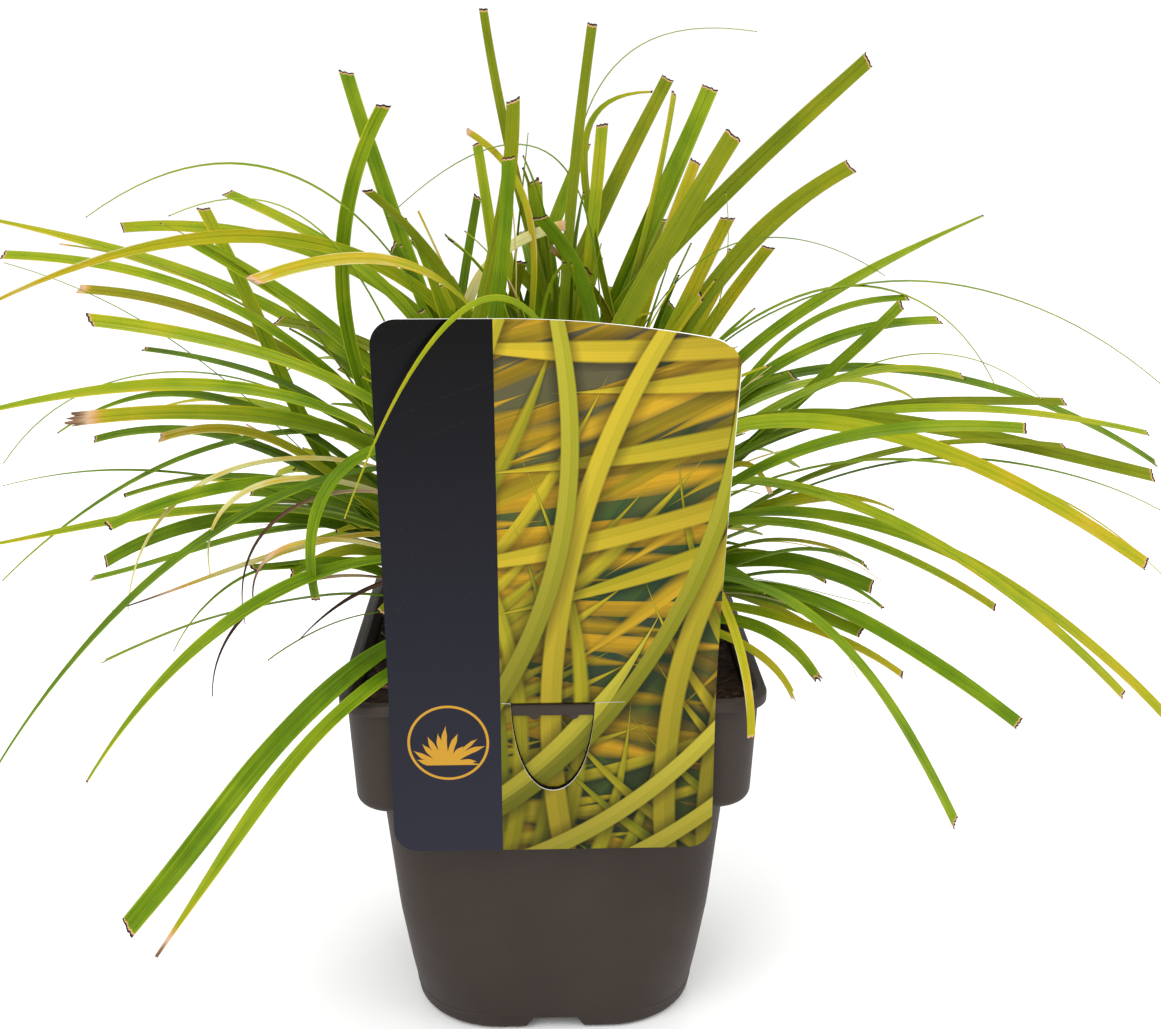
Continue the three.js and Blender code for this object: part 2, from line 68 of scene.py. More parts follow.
# Leaves. Each row has the heading and steepness of the base and the dive of the tip in degrees (a
# dive past 90 leans back), the tip's x, y and z and the full width in millimetres, the turn of the
# face in degrees, the kind of end, the look, how boldly it arches where that isn't 1, and the
# heading of the tip where it doesn't point straight away from the base.
LEAVES = {
    "right": [
        (-36, 52, -58, 116, -100, 106, 5.2, -5, "cut", "green", 1.3),
        (-22, 50, -34, 146, -62, 119, 5.8, 25, "cut", "green"),
        (-28, 78, -45, 186, -44, 120, 5.4, 35, "cut", "yellow", 1.3),
        (-8, 64, -48, 214, -22, 99, 4.8, 40, "cut", "yellow", 1.1),
        (-20, 70, -34, 145, -32, 146, 4.6, 25, "cut", "lime", 1.1),
        (-12, 80, -34, 191, -38, 163, 5.8, 42, "cut", "yellow", 1.35),
        (9, 80, -14, 209, 4, 181, 5.2, 45, "cut", "olive", 1.2),
        (24, 78, -32, 245, 82, 164, 4.6, 30, "cut", "dark", 1.15),
        (13, 66, -4, 186, 32, 201, 4.6, 25, "cut", "olive", 1.05),
        (-27, 62, 0, 141, -58, 213, 5.2, 35, "cut", "green", 1.05),
        (2, 69, -17, 144.4, 20, 212.6, 5.0, 20, "cut", "lime"),
        (24, 68, -2, 137, 28, 232, 4.6, 25, "cut", "green"),
        (28, 49, 46, 121, 18, 239, 5.2, 10, "cut", "green"),
        (36, 66, 18, 162, 68, 264, 4.8, 15, "point", "green", 1.05),
        (38, 74, 24, 106, 42, 283, 6.4, 35, "cut", "olive"),
        (145, 84, 40, 109, 38, 319, 6.2, -35, "cut", "olive"),
        (260, 74, 56, 60, 6, 295.5, 6.8, 15, "cut", "olive"),
        (80, 86, 62, 56, 42, 310, 6.6, 20, "cut", "green"),
        (-36, 84, -88, 60, -74, 121.5, 2.8, 10, "cut", "pale", 2),
    ],
    "upright": [
        (130, 76, 50, 44, 72, 313, 5.4, -30, "cut", "olive"),
        (-75, 87, 82, 14, -2, 329, 4.2, 25, "cut", "olive"),
        (0, 86, 82, -20, 14, 334, 3.8, 50, "cut", "olive", 1.2),
        (214, 54, 86, -11, -36, 307, 4.6, 40, "cut", "olive"),
        (214, 64, 90, -12, -44, 291, 4.4, 40, "cut", "dark"),
        (80, 76, 84, 17, 6, 299, 5.6, 55, "cut", "lime"),
        (135, 72, 52, 13, 46, 292, 4.6, -30, "cut", "green"),
    ],
    "left": [
        (152, 76, 74, -66, 26, 315, 5.4, -40, "cut", "green"),
        (180, 57, 122, -51, -6, 305, 5.2, -55, "cut", "green"),
        (212, 84, 40, -56, -20, 280, 5.0, 20, "cut", "olive"),
        (235, 88, -14, -83, -66, 259, 5.4, -45, "cut", "gold", 1.35),
        (178, 38, 64, -114, 16, 272, 5.6, -40, "cut", "lime", 1.05),
        (182, 74, 30, -116, 0, 264, 5.8, -40, "cut", "green", 1.08),
        (165, 82, 20, -109, 32, 276, 4.2, -40, "cut", "lime", 1.15),
        (118, 84, -6, -154, 62, 261, 4.2, -40, "cut", "lime", 1.2),
        (120, 88, -26, -172, -46, 246, 4.2, -25, "point", "yellow", 1.45),
        (148, 68, 10, -212, 62, 267, 4.6, -30, "point", "lime", 1.1),
        (160, 66, 2, -163, 34, 243, 4.4, -30, "cut", "amber"),
        (208, 77, 10, -136, -44, 244, 6.2, -42, "cut", "lime", 1.1),
        (218, 74, -14, -182, -56, 216, 5.6, -45, "point", "lime", 1.15),
        (198, 74, -4, -149, -30, 211, 6.0, -48, "torn", "scorched", 1.15),
        (204, 68, -24, -137, -42, 180, 5.0, -38, "cut", "green", 1.1),
        (192, 58, -8, -190, -26, 168, 4.2, -30, "point", "lime", 1.05),
        (168, 62, -16, -170, 37, 135.5, 3.6, -25, "cut", "green"),
        (235, 80, -56, -170, -68, 112, 5.2, -40, "point", "dark", 1.5),
        (225, 60, -54, -140, -78, 112, 5.8, -25, "point", "green", 1.25),
        (223, 37, -34, -118, -121, 89, 6.2, -40, "cut", "green"),
        (229, 28, -38, -109, -128, 85, 5.4, -10, "point", "scorched"),
    ],
    "back": [
        (46, 63, -26, 152, 110, 186, 5.2, 10, "cut", "lime"),
        (50, 50, -32, 108, 134, 150, 5.6, 10, "cut", "green"),
        (66, 68, -34, 88, 182, 182, 5.4, 10, "point", "yellow"),
        (82, 54, -38, 30, 198, 126, 5.6, 0, "cut", "green"),
        (97, 70, -32, -26, 206, 196, 5.2, 0, "point", "lime"),
        (112, 56, -34, -74, 180, 142, 5.6, -10, "cut", "olive"),
        (127, 66, -30, -120, 160, 186, 5.2, -10, "point", "green"),
        (142, 50, -36, -134, 112, 134, 5.6, -10, "cut", "lime"),
        (150, 58, -24, -166, 92, 184, 5.0, -10, "point", "yellow"),
    ],
}

# Narrower leaves between them, in the same form.
SLENDER_LEAVES = {
    "left": [
        (198, 66, -22, -111, -40, 274, 1.6, 0, "point", "green", 1.1),
        (186, 60, 24, -124, 0, 269, 1.8, 0, "point", "olive"),
        (176, 62, 6, -160, 10, 261, 1.6, 0, "cut", "amber", 1.05),
        (182, 66, 2, -175, 0, 259, 3.6, -45, "cut", "lime", 1.1),
        (184, 62, 6, -133, 0, 228, 3.4, -25, "cut", "dark", 1.1),
        (180, 76, 8, -90, 4, 236, 6.0, -25, "cut", "olive", 1.25),
        (184, 70, -52, -183, 0, 190, 1.8, 0, "point", "green", 1.2),
        (182, 58, -34, -164, 0, 200, 3.4, -35, "point", "dark", 1.1),
        (178, 50, -16, -154, 6, 196, 4.4, -25, "cut", "dark"),
        (192, 48, -18, -125, -20, 203, 4.6, -25, "cut", "gold"),
        (187, 80, -44, -188, 0, 148, 3.2, -25, "point", "dark", 1.35),
        (185, 56, -18, -144, 0, 178, 3.4, -25, "cut", "green", 1.1),
        (197, 46, -62, -121, -40, 138, 2.0, 0, "point", "dark", 1.15),
        (222, 86, -100, -73, -48, 158, 4.4, -35, "cut", "dark", 2.3),
        (204, 34, -24, -84, -30, 160, 5.6, -25, "cut", "green"),
    ],
    "middle": [
        (10, 86, 78, 43, 36, 308, 5.0, -40, "cut", "lime"),
        (0, 60, 0, 32, -10, 309, 3.6, 30, "point", "lime", 1.1),
        (190, 68, 104, -23, 0, 277, 3.6, 40, "cut", "dark"),
        (90, 86, 86, -5, 10, 281, 4.6, 0, "cut", "green"),
        (205, 74, 12, 5, -10, 269, 4.0, 30, "cut", "cream", 1.15),
        (10, 76, 40, 1, 0, 261, 4.4, 30, "cut", "amber", 1.1),
        (30, 80, 64, 50, 30, 286, 4.6, 30, "cut", "yellow"),
        (40, 76, 60, 62, 30, 267, 5.4, 30, "cut", "yellow"),
        (34, 72, 46, 78, 40, 256, 5.0, 30, "cut", "yellow"),
        (60, 74, 60, 68, 60, 252, 4.6, 30, "cut", "yellow"),
        (190, 78, 24, -26, 8, 297, 2.6, 40, "cut", "gold"),
    ],
    "right": [
        (5, 82, -38, 206, 0, 215, 1.5, 0, "point", "green", 1.35),
        (8, 84, -62, 151, 0, 212, 1.7, 0, "point", "green", 1.45),
        (5, 58, 0, 118, 0, 244, 3.4, 20, "cut", "green"),
        (6, 66, -14, 208, 10, 194, 4.0, 20, "cut", "lime", 1.1),
        (-2, 50, -8, 175, 0, 193, 3.0, 20, "cut", "olive"),
        (-2, 62, -44, 210, -10, 150, 2.2, 0, "point", "lime", 1.1),
        (4, 50, -28, 211, 0, 170, 1.6, 0, "point", "dark"),
        (-30, 40, -56, 85, -40, 126, 5.4, 20, "torn", "green"),
        (-40, 44, -62, 78, -42, 120, 4.0, 20, "torn", "pale"),
        (-25, 38, -26, 100, -36, 163, 2.8, 10, "cut", "dark"),
        (-28, 42, -38, 106, -40, 150, 2.6, 10, "cut", "dark"),
        (-8, 50, -40, 108, -10, 153, 2.6, 10, "cut", "yellow"),
        (2, 56, -70, 74, -10, 180, 2.0, 40, "cut", "amber", 1.2),
    ],
}

# Hair-fine leaves, in the same form.
HAIRS = [
    (190, 82, -34, -135, -40, 274, 1.0, -30, "point", "green", 1.3),
    (186, 45, 16, -175, 0, 256, 0.8, 0, "point", "dark"),
    (184, 48, -14, -184, 0, 182, 1.0, -30, "point", "dark"),
    (205, 50, -88, -110, -40, 122, 1.5, -30, "point", "withered", 1.3),
    (195, 78, -84, -134, -40, 152, 1.6, -50, "point", "bleached", 1.45),
    (10, 86, -8, 65, 0, 327, 0.9, 0, "point", "green", 1.2),
    (0, 82, -42, -52, 0, 270, 1.7, 0, "point", "green", 1.85),
    (10, 78, 100, 57, 0, 278, 0.6, 0, "point", "dark"),
    (10, 86, -32, 110, 0, 251, 0.7, 0, "point", "dark", 1.38),
    (0, 60, -42, 166, 0, 209, 1.0, 0, "point", "green", 1.1),
    (-25, 46, -74, 99, -40, 126, 0.8, 0, "point", "bleached", 1.1),
    (200, 66, -12, -136, -50, 156, 1.8, -60, "point", "dead", 1.2),
    (215, 60, -98, -92, -50, 156, 1.6, -50, "point", "dead", 1.2),
    (222, 66, -40, -79, -50, 145, 1.5, -50, "point", "withered", 1.2),
    (205, 74, -96, -106, -46, 166, 2.0, -50, "point", "bleached", 1.35),
    (205, 78, -98, -96, -48, 150, 1.2, -50, "point", "withered", 1.65),
    (288, 68, -68, -57, -92, 197, 1.8, 20, "point", "lime", 2.65, 200),
]

# How ripe a leaf is at its base and tip (0 is deep green, 1 is golden), how olive its outer half
# is, how many millimetres of the tip are withered, and how strongly.
LOOKS = {
    "dark": (0.0, 0.2, 0.1, 1.3, 1.0),
    "green": (0.12, 0.36, 0.05, 1.5, 1.0),
    "lime": (0.22, 0.6, 0.0, 1.5, 0.97),
    "yellow": (0.25, 0.72, 0.1, 1.6, 0.97),
    "gold": (0.45, 0.84, 0.1, 4.0, 0.6),
    "cream": (0.62, 1.0, 0.0, 5.0, 0.55),
    "olive": (0.1, 0.45, 0.65, 1.6, 1.0),
    "amber": (0.25, 0.7, 0.7, 7.0, 0.55),
    "scorched": (0.2, 0.62, 0.1, 15.0, 0.75),
    "pale": (0.3, 0.85, 0.1, 1.5, 0.5),
    "bleached": (1.0, 1.0, 0.0, 2.0, 0.5),
    "dead": (1.0, 1.0, 0.0, 40.0, 0.93),
    "withered": (0.95, 1.0, 0.4, 160.0, 0.92),
    "straw": (0.9, 1.0, 0.4, 90.0, 0.5),
}

# Blades that fill the tussock between the listed ones: the heading they spread round and how
# widely in degrees, how many, the least and greatest reach, and the tip heights of the most
# upright and the most spreading one in millimetres.
FANS = (
    (180, 24, 31, 45, 150, 264, 150),
    (3, 22, 28, 40, 145, 264, 140),
    (90, 42, 44, 40, 150, 285, 150),
    (70, 100, 27, 8, 66, 290, 218),
)


def srgb(code):
    """The linear RGBA colour of an sRGB hex value."""
    channels = [int(code[i:i + 2], 16) / 255 for i in (1, 3, 5)]
    linear = [c / 12.92 if c <= 0.04045 else ((c + 0.055) / 1.055) ** 2.4 for c in channels]
    return (*linear, 1.0)


def colour_property(name, description, code):
    """A colour setting whose default is an sRGB hex value."""
    return FloatVectorProperty(
        name=name, description=description, subtype="COLOR", size=4, min=0, max=1, default=srgb(code))


def length_property(name, description, millimetres):
    """A length setting whose default is given in millimetres."""
    return FloatProperty(
        name=name, description=description, unit="LENGTH", min=0, default=millimetres * MM)


# ---- Settings --------------------------------------------------------------------------------


class SedgePotSettings(bpy.types.PropertyGroup):
    """Sizes and colour of the nursery pot."""

    colour: colour_property("Plastic", "Colour of the recycled polypropylene", "#342c27")
    speck: colour_property("Specks", "Dark regrind specks and soil marks", "#1c1613")
    wall: length_property("Wall", "Thickness of the walls", 1.3)
    floor: length_property("Floor", "Thickness of the floor", 1.8)
    collar_height: length_property("Collar", "Height of the collar at the top", 39)
    lip_height: length_property("Lip", "Height of the lip round the rim", 3.8)
    grain: length_property("Grain", "Size of the mould's matt texture", 0.35)


class SedgeSoilSettings(bpy.types.PropertyGroup):
    """The peat substrate and what lies on it."""

    colour: colour_property("Peat", "Damp peat", "#2b1d14")
    crumb: colour_property("Crumbs", "Drier crumbs on top", "#4a3423")
    bark: colour_property("Bark", "Wood and bark chips", "#7a5a3c")
    fibre: colour_property("Fibres", "Dry roots and fibres", "#b59a72")
    crumb_size: length_property("Crumb size", "Typical width of a crumb", 3.0)
    crumbs: IntProperty(name="Crumbs", description="Loose crumbs on the surface", default=420, min=0)
    chips: IntProperty(name="Chips", description="Bark chips on the surface", default=70, min=0)
    fibres: IntProperty(name="Fibres", description="Loose root fibres", default=90, min=0)
    seed: IntProperty(name="Seed", description="Start of the random draws", default=11, min=0)


class SedgeLeafSettings(bpy.types.PropertyGroup):
    """Build and colours of the leaves."""

    deep: colour_property("Deep green", "Shaded bases and the oldest leaves", "#435e04")
    green: colour_property("Green", "The usual green of a blade", "#5f7f05")
    lime: colour_property("Lime", "Younger blades in full light", "#889c15")
    yellow: colour_property("Yellow", "Ripening blades", "#b0a81a")
    gold: colour_property("Gold", "Blades that have turned", "#c6a41e")
    cream: colour_property("Cream", "Bleached blades", "#cdc887")
    olive: colour_property("Olive", "Cast of the ageing blades", "#6c6904")
    thickness: length_property("Thickness", "Thickness of a blade", 0.3)
    hairs: IntProperty(name="Fine blades", description="Fine blades in each fan", default=9, min=0)
    seed: IntProperty(name="Seed", description="Start of the random draws", default=7, min=0)


class SedgeLabelSettings(bpy.types.PropertyGroup):
    """Print and sheet of the plant label."""

    band: colour_property("Band", "Plain dark band along the left side", "#191922")
    ground: colour_property("Picture ground", "Deep shade between the printed blades", "#33301f")
    gold: colour_property("Gold ink", "Ring and tuft on the band", "#b98a2c")
    sheet: colour_property("Sheet", "Bare plastic at the cut edges and the back", "#f1f1ec")
    thickness: length_property("Thickness", "Thickness of the sheet", 0.5)
    band_share: FloatProperty(
        name="Band width", description="Share of the label's width", subtype="FACTOR", default=0.34)


class SedgeStageSettings(bpy.types.PropertyGroup):
    """Floor, light and camera."""

    floor: colour_property("Floor", "Plain pale floor", "#ffffff")
    ambient: FloatProperty(name="Ambient", description="Light from all round", default=1.06, min=0)
    key: FloatProperty(
        name="Key light", description="Power of the main softbox", unit="POWER", default=10, min=0)
    lens: FloatProperty(name="Lens", description="Focal length in millimetres", default=43.81, min=1)


# ---- Materials -------------------------------------------------------------------------------

# The share of a noise texture's values that it really fills, spread out to the whole of a range.
NOISE = {"From Min": 0.3, "From Max": 0.7}


def add(tree, kind, inputs=None, stops=(), **settings):
    """Adds one shader node with its settings, the stops of a ramp and its inputs. An input is a
    value, a socket to link, or a node, whose first output in use is linked."""
    node = tree.nodes.new("ShaderNode" + kind)
    for name, value in settings.items():
        setattr(node, name, value)
    elements = node.color_ramp.elements if stops else ()
    while len(elements) < len(stops):
        elements.new(1.0)
    for element, (position, colour) in zip(elements, stops):
        element.position = position
        element.color = colour
    for name, value in (inputs or {}).items():
        if isinstance(value, bpy.types.Node):
            value = next(socket for socket in value.outputs if socket.enabled)
        if isinstance(value, bpy.types.NodeSocket):
            tree.links.new(value, node.inputs[name])
        else:
            node.inputs[name].default_value = value
    return node


def new_material(name):
    """An empty node material, ready for a shader, and its tree."""
    material = bpy.data.materials.new(name)
    material.use_nodes = True
    material.node_tree.nodes.clear()
    return material, material.node_tree


def finish_material(tree, inputs):
    """Ends a material in a Principled shader with the given values and links."""
    shader = add(tree, "BsdfPrincipled", inputs)
    add(tree, "OutputMaterial", {"Surface": shader})


def polypropylene_material(settings):
    """Recycled polypropylene, injection moulded with a matt grain: soft sheen, faint clouding from
    the regrind, a few dark specks, and a grain that breaks the highlights."""
    material, tree = new_material("recycled polypropylene")
    here = add(tree, "TexCoord").outputs["Object"]
    # The clouds are about 36 mm across, and a speck may stand in each cell of 12 mm.
    clouds = add(tree, "TexNoise", {"Vector": here, "Scale": 28.0, "Detail": 5.0, "Roughness": 0.6})
    specks = add(tree, "TexVoronoi", {"Vector": here, "Scale": 85.0, "Randomness": 1.0})
    grain = add(tree, "TexNoise", {
        "Vector": here, "Scale": 1 / settings.grain, "Detail": 3.0, "Roughness": 0.7})
    darker, lighter = ([c * share for c in settings.colour[:3]] + [1] for share in (0.86, 1.13))
    body = add(tree, "Mix", {
        0: add(tree, "MapRange", {"Value": clouds, **NOISE}), 6: darker, 7: lighter}, data_type="RGBA")
    draw = add(tree, "SeparateColor", {"Color": specks.outputs["Color"]})
    chosen = add(tree, "Math", {0: draw, 1: 0.06}, operation="LESS_THAN")
    near = add(tree, "MapRange", {
        "Value": specks, "From Min": 0.03, "From Max": 0.06, "To Min": 1.0, "To Max": 0.0})
    spot = add(tree, "Math", {0: chosen, 1: near}, operation="MULTIPLY")
    colour = add(tree, "Mix", {0: spot, 6: body, 7: settings.speck}, data_type="RGBA")
    roughness = add(tree, "MapRange", {"Value": grain, **NOISE, "To Min": 0.48, "To Max": 0.62})
    bump = add(tree, "Bump", {"Height": grain, "Strength": 0.22, "Distance": 0.12 * MM})
    finish_material(tree, {
        "Base Color": colour, "Roughness": roughness, "Specular IOR Level": 0.2, "IOR": 1.49,
        "Normal": bump})
    return material


def peat_material(name, colours, size):
    """Damp peat and bark, with no gloss: near-black in the hollows between the crumbs, where shade is
    painted, and browner on the drier tops.
    The pattern is as coarse as the crumbs."""
    material, tree = new_material(name)
    crumbs = add(tree, "TexNoise", {
        "Vector": add(tree, "TexCoord").outputs["Object"], "Scale": 1 / size, "Detail": 8.0,
        "Roughness": 0.72})
    # The first colour lies in the hollows of the same noise that gives the bump: painted shade between
    # the crumbs.
    stops = [(0.28 + 0.44 * i / (len(colours) - 1), c) for i, c in enumerate(colours)]
    finish_material(tree, {
        "Base Color": add(tree, "ValToRGB", {"Fac": crumbs}, stops), "Roughness": 0.92,
        "Specular IOR Level": 0.25,
        "Normal": add(tree, "Bump", {"Height": crumbs, "Strength": 0.8, "Distance": 0.6 * MM})})
    return material


def leaf_material(settings):
    """A living sedge blade: satin cuticle over parallel veins, green at the base and ripening to
    lime, yellow or olive outward, with paler margins and a browned end where it was cut. The point
    attribute "look" holds how ripe and olive each spot is, and how far and how strongly its tip is
    withered; "left" holds how many millimetres of blade are left to the tip."""
    material, tree = new_material("sedge blade")
    uv = add(tree, "UVMap", uv_map="blade")
    look = add(tree, "Attribute", attribute_name="look")
    ripe, olive, reach = add(tree, "SeparateColor", {"Color": look}).outputs
    left = add(tree, "Attribute", attribute_name="left").outputs["Fac"]
    across = add(tree, "SeparateXYZ", {"Vector": uv})
    off_middle = add(tree, "Math", {0: across, 1: 0.5}, operation="SUBTRACT")
    off_keel = add(tree, "Math", {0: off_middle}, operation="ABSOLUTE")
    streaks = add(tree, "TexNoise", {
        "Vector": add(tree, "Mapping", {"Vector": uv, "Scale": (9.0, 2.2, 1.0)}), "Scale": 1.0,
        "Detail": 4.0, "Roughness": 0.6})
    # About a dozen veins run along each blade, and its patches are about 17 mm long.
    veins = add(tree, "TexWave", {
        "Vector": uv, "Scale": 3.9, "Distortion": 0.6, "Detail": 1.0, "Detail Scale": 0.6},
        bands_direction="X").outputs["Fac"]
    patches = add(tree, "TexNoise", {
        "Vector": add(tree, "TexCoord").outputs["Object"], "Scale": 60.0, "Detail": 2.0})
    margin = add(tree, "MapRange", {"Value": off_keel, "From Min": 0.41, "From Max": 0.5})
    # Painted shade: the blade is darkened a little along its keel, in the crease of its fold.
    keel = add(tree, "MapRange", {
        "Value": off_keel, "From Min": 0.0, "From Max": 0.1, "To Min": 1.0, "To Max": 0.0})
    for source, amount in ((streaks, 0.15), (patches, 0.12)):
        swing = add(tree, "MapRange", {"Value": source, **NOISE, "To Min": -amount, "To Max": amount})
        ripe = add(tree, "Math", {0: ripe, 1: swing}, operation="ADD")
    ripe = add(tree, "Math", {0: margin, 1: 0.16, 2: ripe}, operation="MULTIPLY_ADD")
    living = add(tree, "ValToRGB", {"Fac": ripe}, stops=[
        (0.0, settings.deep), (0.25, settings.green), (0.52, settings.lime),
        (0.78, settings.yellow), (0.9, settings.gold), (1.0, settings.cream)])
    aged = add(tree, "Mix", {
        0: add(tree, "Math", {0: olive, 1: 0.8}, operation="MULTIPLY"), 6: living, 7: settings.olive},
        data_type="RGBA")
    dim_veins = add(tree, "MapRange", {"Value": veins, "To Min": 0.84, "To Max": 1.06})
    # The veins' tint, with the painted shade along the keel.
    veins_and_keel_shade = add(tree, "Math", {0: keel, 1: -0.04, 2: dim_veins}, operation="MULTIPLY_ADD")
    veined = add(tree, "VectorMath", {0: aged, "Scale": veins_and_keel_shade}, operation="SCALE")
    # The withering reaches so many millimetres back from the tip, which is stored as a hundredth.
    # Its browning is ragged, because it runs further along some veins.
    near = add(tree, "Math", {0: left, 1: 0.01}, operation="MULTIPLY")
    beyond = add(tree, "Math", {0: near, 1: reach}, operation="DIVIDE")
    wither = add(tree, "MapRange", {
        "Value": beyond, "To Min": look.outputs["Alpha"], "To Max": 0.0},
        interpolation_type="SMOOTHSTEP")
    ragged = add(tree, "MapRange", {"Value": streaks, **NOISE, "To Min": -0.16, "To Max": 0.16})
    browning = add(tree, "Math", {0: wither, 1: ragged}, operation="ADD")
    dead = add(tree, "ValToRGB", {"Fac": browning}, stops=[
        (0.2, srgb("#c79f33")), (0.4, srgb("#cf9c5e")), (0.55, srgb("#cdb090")),
        (0.7, srgb("#8a6a50")), (0.84, srgb("#3d2c22")), (1.0, srgb("#1d1512"))])
    share = add(tree, "MapRange", {"Value": browning, "From Min": 0.16, "From Max": 0.42})
    finish_material(tree, {
        "Base Color": add(tree, "Mix", {0: share, 6: veined, 7: dead}, data_type="RGBA"),
        "Roughness": add(tree, "MapRange", {"Value": share, "To Min": 0.44, "To Max": 0.8}),
        "Specular IOR Level": 0.1, "Subsurface Weight": 0.1, "Subsurface Radius": (0.9, 1.0, 0.3),
        "Subsurface Scale": 0.5 * MM,
        "Normal": add(tree, "Bump", {"Height": veins, "Strength": 0.35, "Distance": 0.08 * MM})})
    return material


def sheath_material(settings):
    """Leaf sheaths at the crown: pale straw-green, ribbed, and browned where they meet the peat."""
    material, tree = new_material("leaf sheath")
    uv = add(tree, "UVMap", uv_map="blade")
    height = add(tree, "SeparateXYZ", {"Vector": uv}).outputs["Y"]
    ribs = add(tree, "TexWave", {
        "Vector": uv, "Scale": 5.0, "Distortion": 0.8}, bands_direction="X").outputs["Fac"]
    # The blotches are about 4 mm across.
    blotch = add(tree, "TexNoise", {
        "Vector": add(tree, "TexCoord").outputs["Object"], "Scale": 240.0, "Detail": 4.0})
    shift = add(tree, "MapRange", {"Value": blotch, **NOISE, "To Min": -0.3, "To Max": 0.3})
    colour = add(tree, "ValToRGB", {
        "Fac": add(tree, "Math", {0: height, 1: shift}, operation="ADD")}, stops=[
            (0.0, srgb("#3c2a1b")), (0.25, srgb("#7d6238")), (0.45, srgb("#b3a868")),
            (0.75, srgb("#8fa83a")), (1.0, settings.green)])
    dim = add(tree, "MapRange", {"Value": ribs, "To Min": 0.72, "To Max": 1.05})
    finish_material(tree, {
        "Base Color": add(tree, "VectorMath", {0: colour, "Scale": dim}, operation="SCALE"),
        "Roughness": 0.6,
        "Normal": add(tree, "Bump", {"Height": ribs, "Strength": 0.5, "Distance": 0.15 * MM})})
    return material


# Printed blades, from back to front: the root the strokes of a fan leave from in millimetres
# (x, z), their bend in degrees a millimetre, strokes a radian, stroke width and shortest and
# longest reach in millimetres, how soft their focus is, how deep their shadow is, and the two inks.
PRINT_FANS = (
    ((-70, -60), 0.06, 24, 8.0, 240, 420, 0.9, 0.0, "#173626", "#4a5a18"),
    ((190, 20), -0.08, 20, 9.0, 120, 250, 0.9, 0.0, "#4a4214", "#8f721c"),
    ((-150, 200), -0.07, 30, 8.5, 140, 290, 0.6, 0.25, "#7c680f", "#c0931c"),
    ((130, 320), 0.09, 24, 8.0, 110, 250, 0.45, 0.35, "#80710f", "#c89d22"),
    ((-110, 120), -0.16, 18, 4.6, 110, 200, 0.35, 0.5, "#727511", "#b8a222"),
    ((-80, -10), -0.22, 14, 5.2, 150, 260, 0.25, 0.55, "#57640c", "#a5991d"),
    ((180, 70), 0.24, 17, 4.8, 100, 210, 0.2, 0.55, "#6f770b", "#b19c20"),
    ((150, 300), 0.14, 9, 6.5, 130, 260, 0.12, 0.6, "#85820f", "#c5a92a"),
    ((120, -60), 0.17, 6, 7.6, 300, 520, 0.1, 0.7, "#7f8112", "#bda72a"),
    ((-95, 75), -0.24, 6, 6.2, 150, 290, 0.08, 0.7, "#8a8b1a", "#c2b43c"),
)
FAN_STEP = 31.7  # keeps the fans' random draws apart
# The band's own motif in gold: a ring, its centre (x, z) and radii in millimetres, and inside it a
# tuft, in the form of the fans.
RING = {"centre": (-32.5, 118), "outer": 12.5, "inner": 11.7}
TUFT = ((-32.5, 110.5), 1.2, 3.6, 1.7, 8, 14, 0.06, 0.0)


